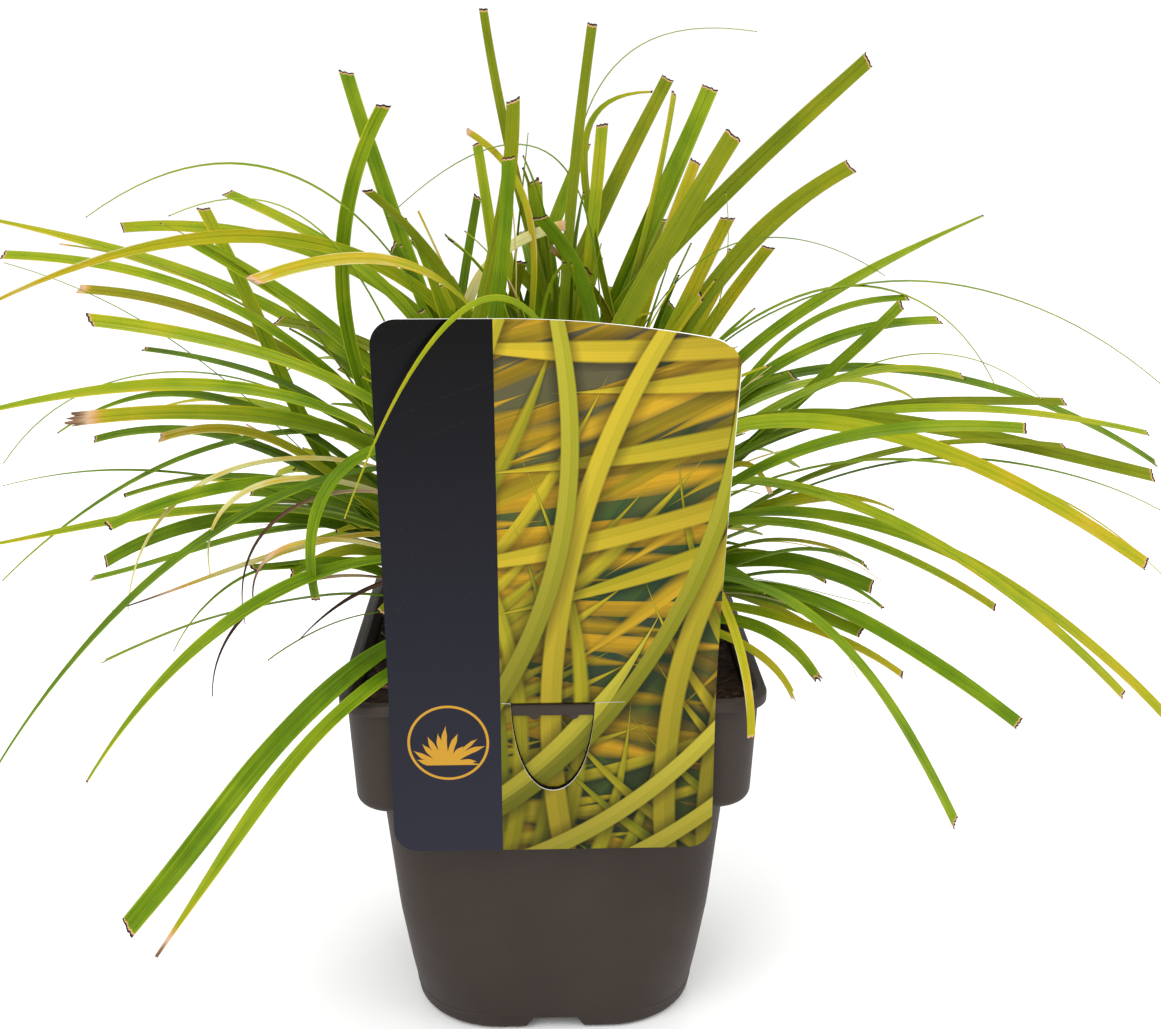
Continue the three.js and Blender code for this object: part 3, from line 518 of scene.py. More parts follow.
def fan_of_strokes(tree, xyz, picture, index, fan, inks, upward=False):
    """Prints one fan of tapering strokes over the picture so far and returns the new picture."""
    (root_x, root_z), bend, density, width, near, far, softness, shadow = fan
    dx = add(tree, "Math", {0: xyz.outputs["X"], 1: root_x * MM}, operation="SUBTRACT")
    dz = add(tree, "Math", {0: xyz.outputs["Z"], 1: root_z * MM}, operation="SUBTRACT")
    offset = add(tree, "CombineXYZ", {"X": dx, "Y": dz})
    distance = add(tree, "VectorMath", {0: offset}, operation="LENGTH")
    angle = add(tree, "Math", {0: dz, 1: dx}, operation="ARCTAN2")
    bent = add(tree, "Math", {
        0: distance, 1: math.radians(bend) / MM, 2: angle}, operation="MULTIPLY_ADD")
    number = add(tree, "Math", {0: bent, 1: density, 2: FAN_STEP * index}, operation="MULTIPLY_ADD")
    cells = add(tree, "TexVoronoi", {
        "W": number, "Scale": 1.0, "Randomness": 0.9}, voronoi_dimensions="1D")
    draw = add(tree, "SeparateColor", {"Color": cells.outputs["Color"]})
    longest = add(tree, "MapRange", {"Value": draw, "To Min": near * MM, "To Max": far * MM})
    share = add(tree, "Math", {0: distance, 1: longest}, operation="DIVIDE")
    taper = add(tree, "MapRange", {
        "Value": share, "From Min": 0.7, "To Min": 1.0, "To Max": 0.0}, interpolation_type="SMOOTHSTEP")
    full = add(tree, "Math", {0: width * MM / 2 * density, 1: distance}, operation="DIVIDE")
    half = add(tree, "Math", {0: full, 1: taper}, operation="MULTIPLY")
    off_middle = add(tree, "Math", {
        0: cells, 1: add(tree, "Math", {0: half, 1: 1e-4}, operation="MAXIMUM")}, operation="DIVIDE")
    inside = add(tree, "MapRange", {
        "Value": off_middle, "From Min": 1 - softness, "From Max": 1 + softness,
        "To Min": 1.0, "To Max": 0.0})
    if upward:
        above = add(tree, "Math", {0: dz, 1: 0.0}, operation="GREATER_THAN")
        inside = add(tree, "Math", {0: inside, 1: above}, operation="MULTIPLY")
    # One side of each folded blade catches more light, and it is duller near its root.
    side = add(tree, "Math", {0: number, 1: cells.outputs["W"]}, operation="GREATER_THAN")
    lit = add(tree, "Math", {0: side, 1: 0.3, 2: draw.outputs["Green"]}, operation="MULTIPLY_ADD")
    lit = add(tree, "Math", {0: lit, 1: 0.75}, operation="MULTIPLY")
    vein = add(tree, "Math", {0: off_middle, 1: 19.0}, operation="MULTIPLY")
    vein = add(tree, "Math", {0: vein}, operation="SINE")
    lit = add(tree, "Math", {0: vein, 1: 0.05, 2: lit}, operation="MULTIPLY_ADD")
    ink = add(tree, "Mix", {0: lit, 6: inks[0], 7: inks[1]}, data_type="RGBA")
    if shadow:
        shaded = add(tree, "MapRange", {
            "Value": off_middle, "From Min": 0.8, "From Max": 2.4, "To Min": 1 - shadow, "To Max": 1.0})
        picture = add(tree, "VectorMath", {0: picture, "Scale": shaded}, operation="SCALE")
        dull = add(tree, "MapRange", {
            "Value": share, "From Min": 0.3, "From Max": 0.75, "To Min": 0.5, "To Max": 1.0})
        ink = add(tree, "VectorMath", {0: ink, "Scale": dull}, operation="SCALE")
    return add(tree, "Mix", {0: inside, 6: picture, 7: ink}, data_type="RGBA")


def print_material(settings):
    """Four-colour print on a polypropylene sheet under a gloss varnish: a plain dark band with a
    gold ring and tuft, and beside it fans of arching grass blades, darker towards the foot."""
    material, tree = new_material("gloss printed polypropylene")
    here = add(tree, "TexCoord").outputs["Object"]
    xyz = add(tree, "SeparateXYZ", {"Vector": here})
    # The shade between the printed blades changes over about 45 mm.
    shade = add(tree, "TexNoise", {"Vector": here, "Scale": 22.0, "Detail": 3.0})
    sheet = {"Value": xyz.outputs["Z"], "From Min": LABEL_LOW.z, "From Max": LABEL_HIGH.z}
    height = add(tree, "MapRange", {**sheet, "To Min": -0.5, "To Max": 0.5})
    depth = add(tree, "Math", {0: shade, 1: height}, operation="ADD")
    picture = add(tree, "ValToRGB", {"Fac": depth}, stops=[
        (0.0, srgb("#231d1a")), (0.3, settings.ground), (0.52, srgb("#20422f")),
        (0.74, srgb("#4a4f26")), (1.0, srgb("#57503a"))])
    for index, (*fan, dark, light) in enumerate(PRINT_FANS):
        picture = fan_of_strokes(tree, xyz, picture, index, fan, (srgb(dark), srgb(light)))
    dusk = add(tree, "MapRange", {
        "Value": height, "From Min": -0.5, "From Max": 0.15, "To Min": 0.66, "To Max": 1.0})
    picture = add(tree, "VectorMath", {0: picture, "Scale": dusk}, operation="SCALE")
    fade = add(tree, "MapRange", {**sheet, "To Min": 2.0, "To Max": 0.0})
    band = add(tree, "VectorMath", {0: settings.band[:3], "Scale": fade}, operation="SCALE")
    band = fan_of_strokes(tree, xyz, band, 0, TUFT, (settings.gold, settings.gold), upward=True)
    flat = add(tree, "CombineXYZ", {"X": xyz.outputs["X"], "Y": xyz.outputs["Z"]})
    centre = (*(c * MM for c in RING["centre"]), 0)
    away = add(tree, "VectorMath", {0: flat, 1: centre}, operation="DISTANCE")
    line, half_line = (RING["outer"] + RING["inner"]) / 2, (RING["outer"] - RING["inner"]) / 2
    ring = add(tree, "Math", {0: away, 1: line * MM, 2: half_line * MM}, operation="COMPARE")
    band = add(tree, "Mix", {0: ring, 6: band, 7: settings.gold}, data_type="RGBA")
    edge = mix(LABEL_LOW.x, LABEL_HIGH.x, settings.band_share)
    on_band = add(tree, "Math", {0: xyz.outputs["X"], 1: edge}, operation="LESS_THAN")
    finish_material(tree, {
        "Base Color": add(tree, "Mix", {0: on_band, 6: picture, 7: band}, data_type="RGBA"),
        "Roughness": 0.22, "Specular IOR Level": 0.12, "IOR": 1.49})
    return material


def plain_material(name, colour, roughness, clouding=0.04):
    """An unprinted or dry surface in one colour, with clouding of about 3 mm so that it isn't flat."""
    material, tree = new_material(name)
    clouds = add(tree, "TexNoise", {
        "Vector": add(tree, "TexCoord").outputs["Object"], "Scale": 300.0, "Detail": 4.0})
    scale = add(tree, "MapRange", {
        "Value": clouds, **NOISE, "To Min": 1 - clouding, "To Max": 1 + clouding})
    finish_material(tree, {
        "Base Color": add(tree, "VectorMath", {0: colour[:3], "Scale": scale}, operation="SCALE"),
        "Roughness": roughness})
    return material


# ---- Mesh helpers ----------------------------------------------------------------------------


def smoothstep(value, low, high):
    """Rises gently from 0 at the low value to 1 at the high one."""
    share = min(max((value - low) / (high - low), 0.0), 1.0)
    return share * share * (3 - 2 * share)


def mix(a, b, share):
    """The value that lies a share of the way from a to b."""
    return a + (b - a) * share


def deselect():
    """Leaves no object selected, so that a new piece is made alone."""
    bpy.ops.object.select_all(action="DESELECT")


def select_only(*objects):
    """Selects these objects alone and makes the first one active."""
    deselect()
    for each in objects:
        each.select_set(True)
    bpy.context.view_layer.objects.active = objects[0]


def apply_modifier(piece, kind, **settings):
    """Adds a modifier to the piece and applies it."""
    select_only(piece)
    modifier = piece.modifiers.new(kind.title(), kind)
    for name, value in settings.items():
        setattr(modifier, name, value)
    bpy.ops.object.modifier_apply(modifier=modifier.name)


def combine(piece, other, operation):
    """Unites the piece with another or subtracts it, and removes the other."""
    apply_modifier(piece, "BOOLEAN", object=other, operation=operation, solver="EXACT")
    bpy.data.objects.remove(other)


def cut(piece, *cutters):
    """Subtracts the cutters from the piece."""
    for cutter in cutters:
        combine(piece, cutter, "DIFFERENCE")


def smooth(piece, degrees):
    """Shades the piece smooth where its faces meet at less than the angle."""
    select_only(piece)
    bpy.ops.object.shade_smooth_by_angle(angle=math.radians(degrees))


def face_out(piece):
    """Points every face of the piece outwards."""
    select_only(piece)
    bpy.ops.object.mode_set(mode="EDIT")
    bpy.ops.mesh.select_all(action="SELECT")
    bpy.ops.mesh.normals_make_consistent(inside=False)
    bpy.ops.object.mode_set(mode="OBJECT")


def new_curve(name, dimensions):
    """An empty curve, and the piece that shows it."""
    curve = bpy.data.curves.new(name, "CURVE")
    curve.dimensions = dimensions
    piece = bpy.data.objects.new(name, curve)
    bpy.context.collection.objects.link(piece)
    return curve, piece


def as_mesh(piece):
    """Turns a curve's piece into a mesh."""
    select_only(piece)
    bpy.ops.object.convert(target="MESH")
    return bpy.context.active_object


def join(name, pieces):
    """Joins the pieces into one named piece."""
    select_only(*pieces)
    bpy.ops.object.join()
    joined = bpy.context.view_layer.objects.active
    joined.name = name
    return joined


def place(piece, name, degrees, material, slot, *nodes):
    """Smooths and names a finished piece, gives it its material, and ties it to the frame."""
    smooth(piece, degrees)
    piece.name = name
    piece.data.name = name
    piece.data.materials.clear()
    piece.data.materials.append(material)
    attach(piece, CAD_BODY)
    if nodes:
        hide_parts(*nodes)


def block(low, high):
    """A box between two corners, given in millimetres."""
    middle = [(a + b) / 2 * MM for a, b in zip(low, high)]
    bpy.ops.mesh.primitive_cube_add(size=1, location=middle)
    cube = bpy.context.active_object
    cube.scale = [(b - a) * MM for a, b in zip(low, high)]
    bpy.ops.object.transform_apply(location=True, rotation=True, scale=True)
    return cube


def cylinder(radius, depth, centre, sides, rotation=(0, 0, 0)):
    """A cylinder of a radius, depth and centre given in millimetres."""
    bpy.ops.mesh.primitive_cylinder_add(
        vertices=sides, radius=radius * MM, depth=depth * MM, location=[c * MM for c in centre],
        rotation=rotation)
    return bpy.context.active_object


CORNER_STEPS = 14


def square_vessel(name, levels):
    """A solid of rounded squares: a plane with rounded corners, extruded and resized through levels
    of (half width, height, corner radius) in millimetres."""
    half, height, corner = levels[0]
    bpy.ops.mesh.primitive_plane_add(size=2 * half * MM, location=(0, 0, height * MM))
    vessel = bpy.context.active_object
    vessel.name = name
    bpy.ops.object.transform_apply(location=True)
    bpy.ops.object.mode_set(mode="EDIT")
    bpy.ops.mesh.select_all(action="SELECT")
    bpy.ops.mesh.bevel(offset=corner * MM, segments=CORNER_STEPS, affect="VERTICES")
    bpy.ops.mesh.select_mode(type="FACE")
    bpy.ops.mesh.select_all(action="SELECT")
    for (before, low, _), (after, high, _) in zip(levels, levels[1:]):
        rise = (0, 0, (high - low) * MM)
        bpy.ops.mesh.extrude_region_move(TRANSFORM_OT_translate={"value": rise})
        share = after / before
        bpy.ops.transform.resize(value=(share, share, 1), center_override=(0, 0, high * MM))
    bpy.ops.object.mode_set(mode="OBJECT")
    face_out(vessel)
    # Resizing scales the corners too, so each level gets its own corner radius back.
    share = corner / half
    for vertex in vessel.data.vertices:
        reach, _, radius = min(levels, key=lambda level: abs(level[1] * MM - vertex.co.z))
        for axis in (0, 1):
            spot = vertex.co[axis]
            turn = (abs(spot) / (reach * MM) - (1 - share)) / share
            vertex.co[axis] = math.copysign((reach - radius + radius * turn) * MM, spot)
    return vessel


def arc(radius, steps, start, end):
    """Points (across, up) of an arc about its own centre, angles in degrees."""
    angles = [math.radians(start + (end - start) * i / steps) for i in range(steps + 1)]
    return [(radius * math.cos(a), radius * math.sin(a)) for a in angles]


def bezier(controls, t):
    """The point of a cubic curve at a share of its way."""
    a, b, c, d = controls
    u = 1 - t
    return a * u ** 3 + b * 3 * u * u * t + c * 3 * u * t * t + d * t ** 3


# ---- Pot -------------------------------------------------------------------------------------

# In millimetres. The body's levels are half width, height and corner radius, from its base up to
# the collar; its corners widen towards the foot.
BODY = ((48.5, 0, 30), (48.9, 6, 28), (50.1, 20, 22), (52.4, 45, 15), (56, 91, 12))
FOOT_ROUND = 2.0
COLLAR_LOW_HALF = 63.4
COLLAR_TOP_HALF = 64.8
COLLAR_CORNER = 12.0
COLLAR_ROUND = 3.4
LIP_ROUND = {"under": 0.7, "over": 0.9}
NOTCH = {"half": 10.5, "top_half": 7.5, "height": 4.5, "depth": 26.0}  # channel under each side
DRAIN = {"radius": 4.5, "inset": 2.0, "corner": 38.2}  # a hole in each channel and each corner
SLOT = {"along": 38.0, "half": 3.5, "below_top": (10.1, 7.5)}  # two through each side of the collar
STRAP = {"half": 14.0, "thick": 0.9}
BUMPS = {"offset": 6.0, "radius": 1.7, "low": 0.6}  # round bumps on the strap's lower edge
WITNESS = {"height": 6.2, "proud": 0.2, "half": 0.3}  # faint line the mould left round the foot


def body_level(z, inset=0.0):
    """The level of the body at a height, smaller all round by the inset."""
    for (half, low, corner), (next_half, high, next_corner) in zip(BODY, BODY[1:]):
        if z <= high:
            share = (z - low) / (high - low)
            return (mix(half, next_half, share) - inset, z, mix(corner, next_corner, share) - inset)


def body_levels(inset=0.0, low=FOOT_ROUND, count=20):
    """Levels up the body, close enough together for its widening corners to look smooth."""
    heights = [mix(low, BODY[-1][1], (i / count) ** 1.5) for i in range(1, count + 1)]
    return [body_level(height, inset) for height in heights]


def notch_block(quarter, base, grow):
    """The cutter for the channel in from the middle of one side of the underside."""
    near, high = base - NOTCH["depth"] - grow, NOTCH["height"] + grow
    below = -5
    cutter = block((near, -1, below), (base + 5, 1, high))
    slope = (NOTCH["half"] - NOTCH["top_half"]) / NOTCH["height"]
    for vertex in cutter.data.vertices:
        half = NOTCH["top_half"] + grow + slope * (high - vertex.co.z / MM)
        vertex.co.y = math.copysign(half * MM, vertex.co.y)
    cutter.rotation_euler.z = math.radians(90 * quarter)
    return cutter


class SEDGE_OT_pot(bpy.types.Operator):
    """Model the nursery pot: collar, lip with its label strap, foot channels and drain holes"""

    bl_idname = "sedge.pot"
    bl_label = "Nursery pot"

    def execute(self, context):
        settings = context.scene.sedge_pot
        top = POT_HIGH.z / MM
        rim = POT_HIGH.x / MM
        shoulder = top - settings.collar_height / MM
        lip = top - settings.lip_height / MM
        wall = settings.wall / MM
        pot = square_vessel("pot_shell", self.outside(top, rim, shoulder, lip))
        cavity = square_vessel("cavity", self.inside(top, shoulder, wall, settings.floor / MM))
        base = BODY[0][0]
        for grow, target in ((wall, cavity), (0, pot)):
            cut(target, *[notch_block(quarter, base, grow) for quarter in range(4)])
        cut(pot, cavity)
        drains = []
        for bearing in range(0, 360, 45):
            distance = DRAIN["corner"] if bearing % 90 else (
                base - NOTCH["depth"] + DRAIN["radius"] + DRAIN["inset"])
            angle = math.radians(bearing)
            centre = (math.cos(angle) * distance, math.sin(angle) * distance, 0)
            drains.append(cylinder(DRAIN["radius"], 24, centre, 32))
        low, high = (top - below for below in SLOT["below_top"])
        slots = [block((x - 5, y - SLOT["half"], low), (x + 5, y + SLOT["half"], high))
                 for x in (-COLLAR_TOP_HALF, COLLAR_TOP_HALF)
                 for y in (-SLOT["along"], SLOT["along"])]
        strap = block((-STRAP["half"], -rim + STRAP["thick"], lip - 1),
                      (STRAP["half"], -COLLAR_TOP_HALF - 0.02, top + 1))
        cut(pot, *drains, *slots, strap)
        for side in (-1, 1):
            centre = (side * BUMPS["offset"], STRAP["thick"] / 2 - rim, lip + BUMPS["low"])
            bump = cylinder(BUMPS["radius"], STRAP["thick"], centre, 24, (math.pi / 2, 0, 0))
            combine(pot, bump, "UNION")
        place(pot, "nursery_pot", 32, polypropylene_material(settings), "pot_plastic", "pot")
        return {"FINISHED"}

    def outside(self, top, rim, shoulder, lip):
        """Levels up the outside: rounded foot, witness line, body, collar and rounded lip."""
        under, over = LIP_ROUND["under"], LIP_ROUND["over"]
        levels = [body_level(FOOT_ROUND + up, FOOT_ROUND - across)
                  for across, up in arc(FOOT_ROUND, 5, -90, 0)]
        line, half = WITNESS["height"], WITNESS["half"]
        above = [level for level in body_levels() if abs(level[1] - line) > 2 * half]
        levels += [level for level in above if level[1] < line]
        levels += [body_level(line - half), body_level(line, -WITNESS["proud"]), body_level(line + half)]
        levels += [level for level in above if level[1] > line]
        levels += [(COLLAR_LOW_HALF - COLLAR_ROUND + across, shoulder + 0.02 + COLLAR_ROUND + up,
                    COLLAR_CORNER - COLLAR_ROUND + across)
                   for across, up in arc(COLLAR_ROUND, 6, -90, 0)]
        levels.append((COLLAR_TOP_HALF, lip, COLLAR_CORNER))
        levels += [(rim - under + across, lip + under + up, COLLAR_CORNER)
                   for across, up in arc(under, 3, -80, 0)]
        levels += [(rim - over + across, top - over + up, COLLAR_CORNER)
                   for across, up in arc(over, 4, 0, 90)]
        return levels

    def inside(self, top, shoulder, wall, floor):
        """Levels up the cavity, a wall's thickness inside the body and the collar."""
        half, _, corner = BODY[-1]
        over = LIP_ROUND["over"]
        ledge, inner, bevel = shoulder + wall, COLLAR_CORNER - wall, 3
        return [
            body_level(floor, wall), *body_levels(wall, floor)[:-1],
            (half - wall, ledge, corner - wall),
            (COLLAR_LOW_HALF - bevel - wall, ledge + 0.02, inner - bevel),
            (COLLAR_LOW_HALF - wall, ledge + bevel, inner),
            (COLLAR_TOP_HALF - wall, top - over, inner),
            (COLLAR_TOP_HALF - wall + over, top + 0.1, inner)]


# ---- Leaves ----------------------------------------------------------------------------------

# The crown's dome, and how the blades stand on it, in millimetres.
CROWN_RADIUS = CROWN_HIGH.x / MM
CROWN_EDGE = 3.0
SEAT_RING = 31.0  # how far from the axis a level blade starts
SEAT_LIFT = 0.75
BASE_WIDTH = 2.8
# How far the curve's arms at the base and the tip reach, as shares of the blade's reach.
BASE_ARM = 0.42
TIP_ARM = 0.36
# A living blade sways by a share of its reach, up to a limit in millimetres, and rolls in radians.
SWAY = {"share": 0.012, "limit": 0.9, "hair": 0.5, "hair_width": 1.2, "roll": 0.2}
# The keel's fold is deep at the base and opens outward: how high the margins stand, as shares of
# half the width, and how far the quarters are creased.
FOLD = {"base": 0.75, "open": 0.26, "crease": 0.07}
OPENS = 0.4  # the share of its length in which a blade opens and reaches its full width
# How a blade narrows towards each kind of end: by what share, and between which two shares of its
# length.
ENDS = {"point": (0.85, 0.68, 1.03), "cut": (0.14, 0.75, 1), "torn": (0.14, 0.75, 1)}
WAVER = {"share": 0.05, "rate": 7}  # how much its width varies, and how quickly
# What is drawn for each blade: how deep its fold is, how much riper or greener it is, and how its
# end slants and is nicked, as shares of half the width.
DRAWS = {"fold": (0.85, 1.15), "shade": 0.07, "slant": 0.5, "nick": 0.22, "widest_nick": 1.2}
TORN = 8  # how many times raggeder a torn end is than a cut one


def crown_height(radius):
    """Height of the crown's dome in millimetres at a distance from the axis."""
    low = CROWN_LOW.z / MM + CROWN_EDGE
    return mix(low, CROWN_HIGH.z / MM, 1 - (radius / CROWN_RADIUS) ** 2)


def direction(azimuth, elevation):
    """The unit vector of a heading and an elevation in radians."""
    level = math.cos(elevation)
    return Vector((math.cos(azimuth) * level, math.sin(azimuth) * level, math.sin(elevation)))


class Spine:
    """The centre line of one blade, in millimetres, with its side and face directions."""

    def __init__(self, row, steps, rng):
        heading, steepness, dive, x, y, z, self.width, turn, self.end, self.look = row[:10]
        arch = row[10] if len(row) > 10 else 1
        azimuth = math.radians(heading)
        start = direction(azimuth, math.radians(steepness))
        ring = SEAT_RING * math.sqrt(max(90 - steepness, 0) / 90)
        seat = Vector((math.cos(azimuth) * ring, math.sin(azimuth) * ring, crown_height(ring)))
        base = seat + start * SEAT_LIFT
        tip = Vector((x, y, z))
        reach = (tip - base).length * arch
        away = math.radians(row[11]) if len(row) > 11 else math.atan2(y - base.y, x - base.x)
        finish = direction(away, math.radians(dive))
        self.controls = (base, base + start * reach * BASE_ARM, tip - finish * reach * TIP_ARM, tip)
        self.azimuth, self.turn, self.steps = azimuth, math.radians(turn), steps
        self.length = 0.0
        self.phase = rng.uniform(0, 100)
        self.sway = SWAY["hair"]
        if self.width > SWAY["hair_width"]:
            self.sway = min(SWAY["limit"], SWAY["share"] * reach)
        self.stations = []
        across = Vector((-math.sin(azimuth), math.cos(azimuth), 0))
        before = base
        for step in range(steps + 1):
            share = step / steps
            centre, along = bezier(self.controls, share), self.tangent(share)
            across = (across - along * across.dot(along)).normalized()
            loose = smoothstep(share, 0.1, 0.5)
            drift = noise.noise_vector(Vector((share * 3.2, self.phase, 0))) * self.sway * loose
            roll = self.turn * smoothstep(share, 0.05, 0.6)
            roll += SWAY["roll"] * loose * noise.noise(Vector((share * 2.6, self.phase, 7)))
            side = Matrix.Rotation(roll, 3, along) @ across
            centre = centre + drift - along * drift.dot(along)
            self.length += (centre - before).length
            before = centre
            self.stations.append((share, centre, side, along.cross(side), self.length))

    def tangent(self, t):
        a, b, c, d = self.controls
        u = 1 - t
        slope = (b - a) * 3 * u * u + (c - b) * 6 * u * t + (d - c) * 3 * t * t
        return slope.normalized()

    def half_width(self, share):
        """Half the width: it opens from the folded base and narrows as its kind of end does."""
        base = min(BASE_WIDTH, self.width)
        half = mix(base, self.width, smoothstep(share, 0, OPENS)) / 2
        waver = noise.noise(Vector((share * WAVER["rate"], self.phase, 3)))
        narrowing, low, high = ENDS[self.end]
        return half * (1 + WAVER["share"] * waver) * (1 - narrowing * smoothstep(share, low, high))


def look_at(spine, share, shade):
    """How ripe, olive and withered a blade is at a spot, as the point attribute holds it."""
    ripe_base, ripe_tip, olive, withered, strength = LOOKS[spine.look]
    ripe = mix(ripe_base, ripe_tip, smoothstep(share, 0.1, 0.95)) + shade
    return (max(ripe, 0), olive * smoothstep(share, 0.15, 0.75), withered / 100, strength)


def add_blade(row, rng, columns=8, steps=40):
    """Adds one blade: a grid laid along its spine, folded at the keel and creased at the quarters."""
    spine = Spine(row, steps, rng)
    bpy.ops.mesh.primitive_grid_add(x_subdivisions=columns, y_subdivisions=steps, size=1, calc_uvs=True)
    blade = bpy.context.active_object
    mesh = blade.data
    fold = rng.uniform(*DRAWS["fold"])
    shade, slant = (rng.uniform(-DRAWS[name], DRAWS[name]) for name in ("shade", "slant"))
    nicks = [rng.uniform(-DRAWS["nick"], DRAWS["nick"]) for _ in range(columns + 1)]
    if spine.end == "torn":
        nicks = [nick * TORN for nick in nicks]
    mesh.attributes.new("look", "FLOAT_COLOR", "POINT")
    mesh.attributes.new("left", "FLOAT", "POINT")
    look, left = mesh.attributes["look"], mesh.attributes["left"]
    for index, vertex in enumerate(mesh.vertices):
        s = vertex.co.x * 2
        row_index = round((vertex.co.y + 0.5) * steps)
        share, centre, side, face, distance = spine.stations[row_index]
        half = spine.half_width(share)
        opening = smoothstep(share, 0, OPENS)
        lift = half * fold * mix(FOLD["base"], FOLD["open"], opening) * abs(s)
        crease = half * FOLD["crease"] * math.sin(2 * math.pi * abs(s)) * opening
        point = centre + side * (s * half) + face * (lift + crease)
        if row_index == steps and spine.end != "point":
            column = round((s + 1) / 2 * columns)
            nick = nicks[column] * min(half, DRAWS["widest_nick"])
            point += spine.tangent(1) * (slant * s * half + nick)
        vertex.co = point * MM
        look.data[index].color = look_at(spine, share, shade)
        left.data[index].value = spine.length - distance
    layer = mesh.uv_layers[0]
    layer.name = "blade"
    for loop in mesh.loops:
        across, up = layer.data[loop.index].uv
        distance = spine.stations[round(up * steps)][4]
        layer.data[loop.index].uv = (across, distance / 100 + spine.phase)
    return blade, spine


def blades(name, rows, rng, material, thickness, *nodes, columns=8, steps=40):
    """Makes one piece of blades that stands in for the nodes, and returns their spines."""
    made = [add_blade(row, rng, columns, steps) for row in rows]
    piece = join(name, [blade for blade, _ in made])
    apply_modifier(piece, "SOLIDIFY", thickness=thickness, offset=0, use_even_offset=False)
    place(piece, name, 50, material, "leaf_blade", *nodes)
    return [spine for _, spine in made]


# The looks that a fan's blades and hairs draw from; one that is listed twice is twice as common.
FAN_LOOKS = ("dark", "dark", "green", "green", "lime", "lime", "yellow", "olive")
HAIR_LOOKS = ("green", "dark", "straw", "pale")
FAN_WIDTHS = (3.2, 6.2)
HAIR_WIDTHS = (0.6, 1.3)
FAN_FRONT = -42  # no tip of a fan comes nearer to the label than this, in millimetres
# How far a fan's blades stray: bearings in shares of its spread, headings of the tips in degrees,
# the share of the reach, and tip heights in millimetres.
FAN_STRAY = {"bearing": 1.6, "tip": 24, "reach": (0.6, 1.12), "height": (-32, 16)}
# The steepness of the base and the dive of the tip in degrees, for the most upright and the most
# spreading blade, and how far they stray.
FAN_STEEP = (85, 44, 5)
FAN_DIVE = (80, -34, 12)
FAN_HEIGHTS = (300, 160)  # tips this high are on upright blades, tips this low on spreading ones
FAN_TURN = 45
FAN_POINTED = 0.4  # the share of blades with a point
FAN_ARCH = (0.95, 1.12)


def fan_rows(rng, fan, count, width, looks):
    """Rows of blades for one fan, from its most upright to its most spreading ones."""
    heading, spread, _, near, far, high, low = fan
    rows = []
    for index in range(count):
        lean = (index + rng.random()) / count
        stray = max(-FAN_STRAY["bearing"], min(FAN_STRAY["bearing"], rng.gauss(0, 1)))
        bearing = heading + spread * stray
        azimuth = math.radians(bearing + rng.uniform(-FAN_STRAY["tip"], FAN_STRAY["tip"]))
        reach = mix(near, far, lean) * rng.uniform(*FAN_STRAY["reach"])
        x, y = math.cos(azimuth) * reach, math.sin(azimuth) * reach
        z = mix(high, low, lean) + rng.uniform(*FAN_STRAY["height"])
        lowness = (FAN_HEIGHTS[0] - z) / (FAN_HEIGHTS[0] - FAN_HEIGHTS[1])
        spreading = min(max(lowness, 0), 1) * 0.4 + lean * 0.6
        steepness, dive = (
            mix(upright, level, spreading) + rng.uniform(-most, most)
            for upright, level, most in (FAN_STEEP, FAN_DIVE))
        end = "point" if rng.random() < FAN_POINTED else "cut"
        rows.append((bearing, steepness, dive, x, max(y, FAN_FRONT), z, rng.uniform(*width),
                     rng.uniform(0, FAN_TURN) * (1 if math.cos(azimuth) > 0 else -1), end,
                     rng.choice(looks), rng.uniform(*FAN_ARCH)))
    return rows


class SEDGE_OT_leaves(bpy.types.Operator):
    """Grow the leaf blades, the slender ones between them and the hair-fine ones"""

    bl_idname = "sedge.leaves"
    bl_label = "Leaves"

    def execute(self, context):
        settings = context.scene.sedge_leaf
        rng = random.Random(settings.seed)
        noise.seed_set(settings.seed)
        material = leaf_material(settings)
        thickness, fine_thickness = settings.thickness, settings.thickness * 0.8
        spines = []
        for group, rows in LEAVES.items():
            for index, row in enumerate(rows, 1):
                name = f"{group}_{index:02d}"
                spines += blades(f"blade_{name}", [row], rng, material, thickness, f"leaf_{name}")
        for group, rows in SLENDER_LEAVES.items():
            spines += blades(f"slender_blades_{group}", rows, rng, material, thickness)
        fine = []
        for index, fan in enumerate(FANS, 1):
            rows = fan_rows(rng, fan, fan[2], FAN_WIDTHS, FAN_LOOKS)
            spines += blades(
                f"inner_blades_{index}", rows, rng, material, thickness, columns=6, steps=30)
            fine += fan_rows(rng, fan, settings.hairs, HAIR_WIDTHS, HAIR_LOOKS)
        for name, rows, steps in (("hair_blades", HAIRS, 44), ("inner_hair_blades", fine, 36)):
            blades(name, rows, rng, material, fine_thickness, columns=2, steps=steps)
        make_crown(spines, settings, rng)
        return {"FINISHED"}


# ---- Crown -----------------------------------------------------------------------------------

# In millimetres: a sheath's length above the blade's base and its radius, both between two limits,
# the height of its slanting mouth, how far it bows below the base, and its wall. As shares: how
# near to the axis it is rooted, its width at the mouth, and its depth to its width.
SHEATH = {"length": (7, 20), "radius": (1.7, 2.4), "mouth": 3.0, "bow": 2, "wall": 0.25,
          "root": 0.86, "narrow": 0.62, "flat": 0.72}
CORE_INSET = 3  # how far the core stays inside the sheaths, in millimetres
CORE_LUMPS = {"height": 1.6, "rate": 6}


